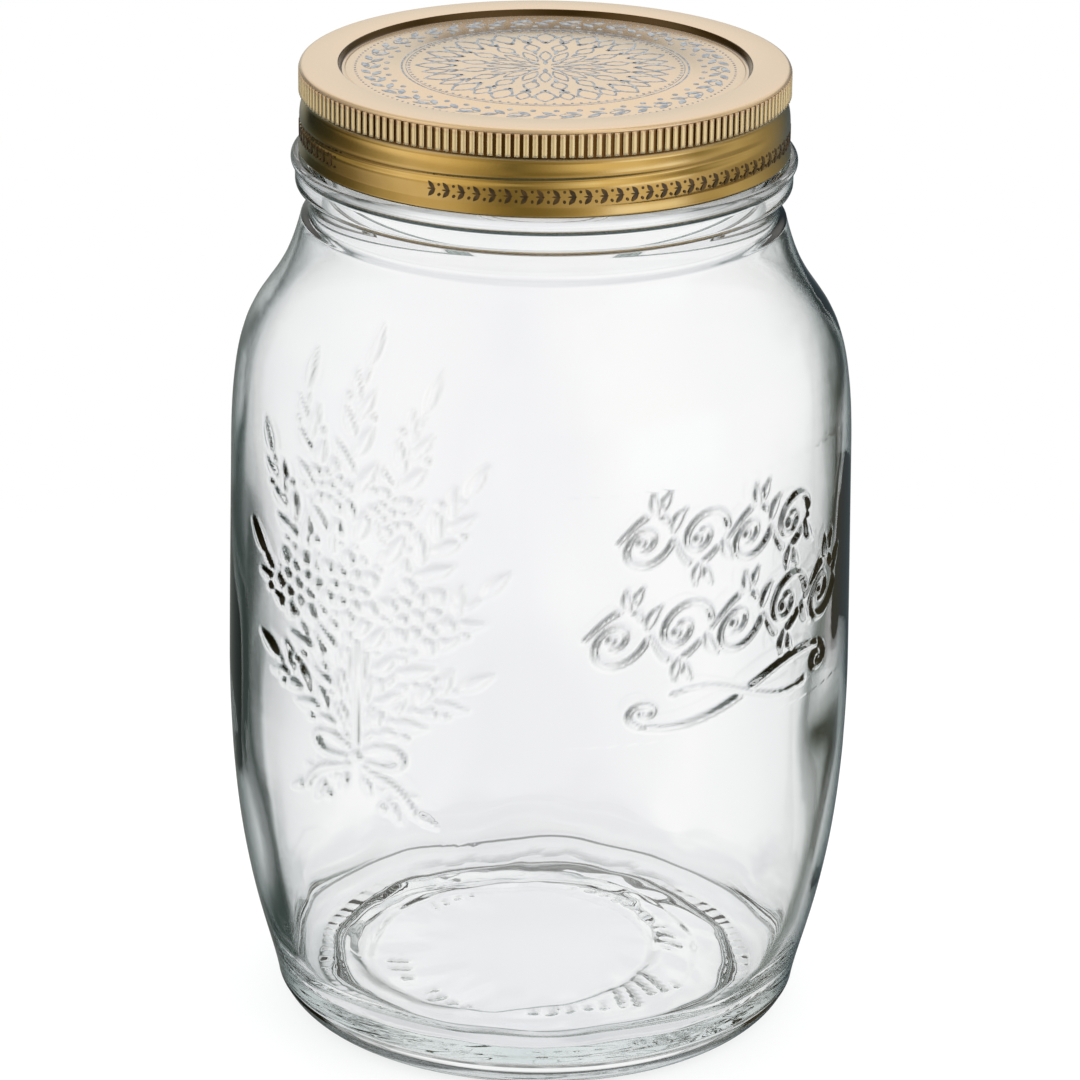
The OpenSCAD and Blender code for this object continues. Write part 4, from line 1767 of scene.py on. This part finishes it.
@dataclass(frozen=True)
class RoomTones:
    """What the studio looks like in metal and through glass, going round it.

    Each tone has its bearing in degrees, clockwise from above. Metal counts it from the front, and
    glass from straight behind. Each name says how high up that band of the room is.
    """

    metal_floor: Stops = ((-180, "#3E4846"), (-90, "#48504C"), (90, "#48504C"), (180, "#3E4846"))
    metal_low: Stops = (
        (-180, "#7F827E"), (-150, "#48524E"), (-127, "#3E3B26"), (-104, "#76694A"), (-80, "#C8BC9E"),
        (-62, "#DED2B6"), (-40, "#BCAE88"), (-18, "#6E643C"), (0, "#8C7E58"), (20, "#B8AA86"),
        (45, "#DCCFB2"), (70, "#CCC0A4"), (95, "#988D6E"), (125, "#8C8264"), (152, "#5A6060"),
        (166, "#4C585C"), (180, "#7F827E"),
    )
    metal_level: Stops = (
        (-180, "#C8CCC8"), (-158, "#A0A49E"), (-142, "#1A2222"), (-118, "#2E2D1A"), (-98, "#5C5230"),
        (-76, "#ACA07A"), (-60, "#CEC09C"), (-42, "#C4B486"), (-24, "#94865A"), (-10, "#6E6238"),
        (2, "#7B6E42"), (14, "#948658"), (26, "#C4B48C"), (36, "#FFFFFF"), (62, "#FFFFFF"),
        (74, "#B0A480"), (100, "#B8AE8A"), (125, "#8C8264"), (150, "#565C5A"), (166, "#44525A"),
        (180, "#C8CCC8"),
    )
    metal_high: Stops = (
        (-180, "#E6E4E0"), (-150, "#D8D6D0"), (-120, "#7A6D42"), (-102, "#94865A"), (-80, "#E8DAB6"),
        (-58, "#F0E2BC"), (-36, "#C8B884"), (-16, "#5E5632"), (0, "#948658"), (22, "#E4D6A8"),
        (44, "#E8DAB0"), (60, "#CABC96"), (78, "#82764E"), (100, "#B0A684"), (140, "#DCDAD4"),
        (180, "#E6E4E0"),
    )
    metal_roof: Stops = (
        (-180, "#F4F2EE"), (-110, "#B4AA8C"), (-80, "#B0A274"), (-50, "#BEB082"), (-30, "#CCBE90"),
        (-10, "#9E9068"), (6, "#A89A70"), (30, "#FFFAE8"), (50, "#E6DCC0"), (72, "#7E724C"),
        (110, "#D0CCC2"), (180, "#F4F2EE"),
    )
    glass_floor: Stops = (
        (-180, "#DCDDDF"), (-152, "#A0A7A6"), (-132, "#76807E"), (-100, "#76807E"), (-75, "#8E9695"),
        (-60, "#B8BDBE"), (-45, "#CFD1D4"), (-30, "#DADBDE"), (-14, "#EBEBEE"), (14, "#EBEBEE"),
        (30, "#DDDEE1"), (46, "#D6D8DA"), (60, "#B0B6B6"), (80, "#8E9695"), (130, "#8E9695"),
        (152, "#A0A7A6"), (180, "#DCDDDF"),
    )
    glass_foot: Stops = (
        (-180, "#E8E9EB"), (-146, "#C8CCCC"), (-135, "#A8B0AF"), (-105, "#98A2A1"), (-66, "#66716F"),
        (-52, "#4A5654"), (-46, "#A0A7A6"), (-42, "#DDDFE0"), (-30, "#EEEEF0"), (0, "#F2F2F4"),
        (20, "#E4E5E7"), (25, "#8A9392"), (34, "#5C6866"), (60, "#848D8C"), (90, "#A8B0AF"),
        (140, "#C8CCCC"), (180, "#E8E9EB"),
    )
    glass_low: Stops = (
        (-180, "#F4F5F6"), (-74, "#E6E7E9"), (-62, "#98A2A1"), (-46, "#3B4745"), (-30, "#3B4745"),
        (-26, "#5C6866"), (-22, "#A0A7A6"), (-19, "#DDDFE0"), (-10, "#EEEFF2"), (-6, "#F8F8FA"),
        (-3, "#F0F0F3"), (2, "#F0F0F3"), (6, "#FAFAFB"), (12, "#EEEEF1"), (26, "#DFE0E2"),
        (30, "#A0A7A6"), (36, "#848D8C"), (44, "#8E9695"), (50, "#C0C5C5"), (56, "#E6E7E9"),
        (180, "#F4F5F6"),
    )
    glass_level: Stops = (
        (-180, "#F8F9FA"), (-58, "#F4F5F6"), (-47, "#DFE1E3"), (-42, "#848D8C"), (-39, "#3B4745"),
        (-30, "#4A5654"), (-27, "#333D3B"), (-19.5, "#2C3634"), (-17.5, "#76807E"), (-15.5, "#E4E5E7"),
        (-13, "#F6F6F8"), (-9, "#F6F6F8"), (-6, "#FFFFFF"), (-2, "#F4F4F7"), (2, "#F4F4F7"), (5, "#FFFFFF"),
        (12, "#F8F8FA"), (22, "#FAFAFB"), (27, "#B8BDBE"), (30, "#2C3634"), (37, "#242E2C"),
        (41, "#7C8584"), (46, "#CDD0D1"), (52, "#E9EBEC"), (180, "#F8F9FA"),
    )
    glass_mid: Stops = (
        (-180, "#F8F9FA"), (-50, "#F8F9FA"), (-40, "#DCDEDF"), (-36, "#5C6866"), (-30, "#4A5654"),
        (-27, "#98A2A1"), (-23, "#E9EBEC"), (-16, "#FAFAFB"), (-11, "#F8F8FA"), (-7, "#FFFFFF"),
        (-4, "#FCFCFE"), (0, "#F8F8FB"), (3, "#FFFFFF"), (7, "#FDFDFE"), (12, "#FAFAFC"),
        (23, "#FFFFFF"), (25.5, "#D6D8D9"), (28, "#242E2C"), (36, "#242E2C"), (40, "#9AA2A1"),
        (46, "#D6D8D9"), (180, "#F8F9FA"),
    )
    glass_high: Stops = (
        (-180, "#F6F7F8"), (-60, "#EEEFF0"), (-34, "#DADCDD"), (-29, "#C4C9C9"), (-26, "#4A5654"),
        (-24, "#4A5654"), (-21, "#C0C5C5"), (-18, "#F0F1F3"), (-9, "#FCFCFD"), (-6, "#FFFFFF"),
        (-2, "#FDFDFE"), (1, "#FDFDFE"), (3, "#FFFFFF"), (8, "#FFFFFF"), (11, "#FAFAFB"),
        (17, "#FFFFFF"), (20.5, "#EBECED"), (23, "#333D3B"), (32, "#26302E"), (35, "#8A9392"),
        (42, "#D0D3D4"), (60, "#EBECED"), (180, "#F6F7F8"),
    )
    glass_wall: Stops = (
        (-180, "#ECEDEE"), (-80, "#DFE1E2"), (-22, "#EEEFF1"), (-10, "#FCFCFD"), (0, "#F4F4F7"),
        (10, "#FCFCFD"), (22, "#EEEFF1"), (80, "#DFE1E2"), (180, "#ECEDEE"),
    )
    glass_roof: Stops = ((-180, "#EEEFF0"), (0, "#DCDEE0"), (180, "#EEEFF0"))


@dataclass
class Studio:
    """A small white table in a soft white studio, with the camera in front of the jar."""

    table_r: float = 300.0
    aim_z: float = 90.0
    camera_place: tuple[float, float, float] = (0.0, -757.2, 376.4)
    camera_pitch: float = 21.11
    camera_roll: float = 0.66
    focal_length: float = 155.32
    lamps: tuple[Lamp, ...] = (
        Lamp("key", (700.0, -500.0, 900.0), 700.0, 7.0),
        Lamp("fill", (-900.0, -300.0, 700.0), 700.0, 4.0),
        Lamp("top", (0.0, 350.0, 1100.0), 800.0, 6.0),
    )
    tones: RoomTones = RoomTones()

    def build(self) -> None:
        """Set up the table, the lamps, the surroundings and the camera."""
        self._table()
        for lamp in self.lamps:
            self._lamp(lamp)
        self._surroundings()
        self._camera()
        scene = bpy.context.scene
        scene.view_settings.view_transform = "Standard"
        scene.cycles.max_bounces = 32
        scene.cycles.transmission_bounces = 32
        scene.cycles.glossy_bounces = 16
        scene.cycles.transparent_max_bounces = 32
        scene.cycles.caustics_refractive = False
        scene.cycles.caustics_reflective = False

    def _table(self) -> None:
        """Make the round white table top, which glows to white towards its rim."""
        material, tree = new_material("matt_white_table")
        place = add_node(tree, "ShaderNodeTexCoord").outputs["Object"]
        distance = add_node(tree, "ShaderNodeVectorMath", {0: place}, operation="LENGTH")
        rim = add_node(tree, "ShaderNodeMapRange", {
            0: distance.outputs["Value"], 1: 0.35 * self.table_r * MM, 2: 0.9 * self.table_r * MM,
            3: 0.72, 4: 1.0}, interpolation_type="SMOOTHSTEP")
        seen = add_node(tree, "ShaderNodeLightPath").outputs["Is Camera Ray"]
        share = add_node(tree, "ShaderNodeMath", {0: seen, 1: rim}, operation="MULTIPLY")
        matt = add_node(tree, "ShaderNodeBsdfDiffuse", {"Color": "#F2F2F2"})
        white = add_node(tree, "ShaderNodeEmission", {"Color": "#FFFFFF", "Strength": 1.0})
        top = add_node(tree, "ShaderNodeMixShader", {0: share, 1: matt, 2: white})
        add_node(tree, "ShaderNodeOutputMaterial", {"Surface": top})
        skin = Skin()
        skin.pole(-2.0)
        for height in (-2.0, -0.05):
            skin.ring(round_turns(128), self.table_r, height)
        skin.pole(-0.05)
        table = skin.piece("table_top", material)
        # Metal and glass look past the table at the studio, which is as white as it is.
        table.visible_glossy = False
        table.visible_transmission = False

    def _lamp(self, lamp: Lamp) -> None:
        """Hang one lamp and aim it at the middle of the jar.

        Args:
            lamp: The lamp.
        """
        data = bpy.data.lights.new(lamp.name, "AREA")
        data.shape = "SQUARE"
        data.size = lamp.side * MM
        data.energy = lamp.power
        light = bpy.data.objects.new(lamp.name, data)
        light.location = Vector(lamp.place) * MM
        aim = Vector((0.0, 0.0, self.aim_z * MM)) - light.location
        light.rotation_euler = aim.to_track_quat("-Z", "Y").to_euler()
        # The surroundings already show a soft box where each lamp hangs.
        light.visible_glossy = False
        light.visible_transmission = False
        bpy.context.scene.collection.objects.link(light)

    def _surroundings(self) -> None:
        """Make the white studio round the table, with its darker corners and soft boxes."""
        world = bpy.data.worlds.new("white_studio")
        world.use_nodes = True
        bpy.context.scene.world = world
        tree = world.node_tree
        tree.nodes.clear()
        path = add_node(tree, "ShaderNodeLightPath").outputs
        seen = "#EDEDED"
        views = {"Is Glossy Ray": self._metal_view(tree), "Is Transmission Ray": self._glass_view(tree),
                 "Is Camera Ray": "#FFFFFF"}
        for ray, view in views.items():
            mixed = {0: path[ray], 6: seen, 7: view}
            seen = add_node(tree, "ShaderNodeMix", mixed, data_type="RGBA").outputs[2]
        glow = add_node(tree, "ShaderNodeBackground", {"Color": seen, "Strength": 1.0})
        add_node(tree, "ShaderNodeOutputWorld", {"Surface": glow})

    def _look(self, tree: bpy.types.NodeTree, front: bool) -> tuple[bpy.types.Node, bpy.types.Node]:
        """Measure where a ray goes.

        Args:
            tree: The world's tree.
            front: Whether the bearing counts from the front, and otherwise from the back.

        Returns:
            The bearing, clockwise from above, and the height above the horizon, in degrees.
        """
        look = add_node(tree, "ShaderNodeTexCoord").outputs["Generated"]
        axes = add_node(tree, "ShaderNodeSeparateXYZ", {0: look}).outputs
        side = -1.0 if front else 1.0
        ahead = add_node(tree, "ShaderNodeMath", {0: axes["Y"], 1: side}, operation="MULTIPLY")
        angle = add_node(tree, "ShaderNodeMath", {0: axes["X"], 1: ahead}, operation="ARCTAN2")
        rise = add_node(tree, "ShaderNodeMath", {0: axes["Z"]}, operation="ARCSINE")
        return tuple(
            add_node(tree, "ShaderNodeMath", {0: value}, operation="DEGREES") for value in (angle, rise))

    def _layers(self, tree: bpy.types.NodeTree, angle: bpy.types.Node, rise: bpy.types.Node,
                layers: tuple[tuple[float, float, Stops], ...]) -> bpy.types.NodeSocket:
        """Lay bands of the room over one another, from the lowest up.

        Args:
            tree: The world's tree.
            angle: The bearing, in degrees.
            rise: The height above the horizon, in degrees.
            layers: For each band, the height where it starts to show, the height where it has
                taken over from the one below, and its tones by bearing.

        Returns:
            The colour seen.
        """
        turn = add_node(tree, "ShaderNodeMapRange", {0: angle, 1: -180.0, 2: 180.0})
        seen = None
        for start, full, tones in layers:
            stops = tuple(((bearing + 180) / 360, colour) for bearing, colour in tones)
            band = add_node(tree, "ShaderNodeValToRGB", {0: turn}, stops)
            share = add_node(tree, "ShaderNodeMapRange", {0: rise, 1: start, 2: full},
                             interpolation_type="SMOOTHSTEP")
            mixed = {0: share, 6: seen or band, 7: band}
            seen = add_node(tree, "ShaderNodeMix", mixed, data_type="RGBA").outputs[2]
        return seen

    def _metal_view(self, tree: bpy.types.NodeTree) -> bpy.types.NodeSocket:
        """Show what shines in the cap and on the glass.

        Args:
            tree: The world's tree.

        Returns:
            The colour seen.
        """
        angle, rise = self._look(tree, front=True)
        tones = self.tones
        return self._layers(tree, angle, rise, (
            (-90.0, -80.0, tones.metal_floor), (-60.0, -48.0, tones.metal_low),
            (-18.0, -4.0, tones.metal_level), (6.0, 20.0, tones.metal_high),
            (38.0, 56.0, tones.metal_roof)))

    def _glass_view(self, tree: bpy.types.NodeTree) -> bpy.types.NodeSocket:
        """Show what is seen through the glass: white straight behind, with a dark edge beside it.

        Args:
            tree: The world's tree.

        Returns:
            The colour seen.
        """
        angle, rise = self._look(tree, front=False)
        tones = self.tones
        return self._layers(tree, angle, rise, (
            (-90.0, -80.0, tones.glass_floor), (-50.0, -46.0, tones.glass_foot),
            (-39.0, -36.0, tones.glass_low), (-27.5, -25.5, tones.glass_level),
            (-24.5, -22.5, tones.glass_mid), (-18.0, -14.5, tones.glass_high),
            (-6.0, 10.0, tones.glass_wall), (44.0, 56.0, tones.glass_roof)))

    def _camera(self) -> None:
        """Set the camera in front of the jar, looking down at it."""
        data = bpy.data.cameras.new("front_camera")
        data.lens = self.focal_length
        data.sensor_width = 36.0
        data.clip_start = 0.01
        camera = bpy.data.objects.new("front_camera", data)
        pitch, roll = math.radians(self.camera_pitch), math.radians(self.camera_roll)
        look = Matrix.Rotation(math.pi / 2 - pitch, 4, "X") @ Matrix.Rotation(roll, 4, "Z")
        camera.matrix_world = Matrix.Translation(Vector(self.camera_place) * MM) @ look
        bpy.context.scene.collection.objects.link(camera)
        bpy.context.scene.camera = camera


# ---- The whole object --------------------------------------------------------


def report(piece: bpy.types.Object) -> None:
    """Log a piece's name and its number of triangles."""
    triangles = sum(len(polygon.vertices) - 2 for polygon in piece.data.polygons)
    LOG.info("%s: %d triangles", piece.name, triangles)


def main() -> None:
    """Build every piece, set it on its body and light it."""
    logging.basicConfig(level=logging.INFO, format="%(message)s")
    Studio().build()

    jar = GlassJar().build(PressedGlass().material())
    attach(jar, "jar")
    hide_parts("glass_jar")
    report(jar)

    grey_ink = PrintingInk("grey_blue_printing_ink", ((0.42, "#666E78"), (0.62, "#93979A")))
    brown_ink = PrintingInk("dark_brown_printing_ink", ((0.4, "#2C1E0C"), (0.65, "#4A3414")), 1.2)
    pieces = ScrewCap().build(LacqueredTinplate().material(), grey_ink.material(), brown_ink.material())
    for piece in pieces:
        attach(piece, "cap")
        report(piece)
    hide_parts("screw_cap")

    seal = SealingRing().build(SealingCompound().material())
    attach(seal, "seal")
    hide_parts("sealing_ring")
    report(seal)


if __name__ == "__main__":
    main()
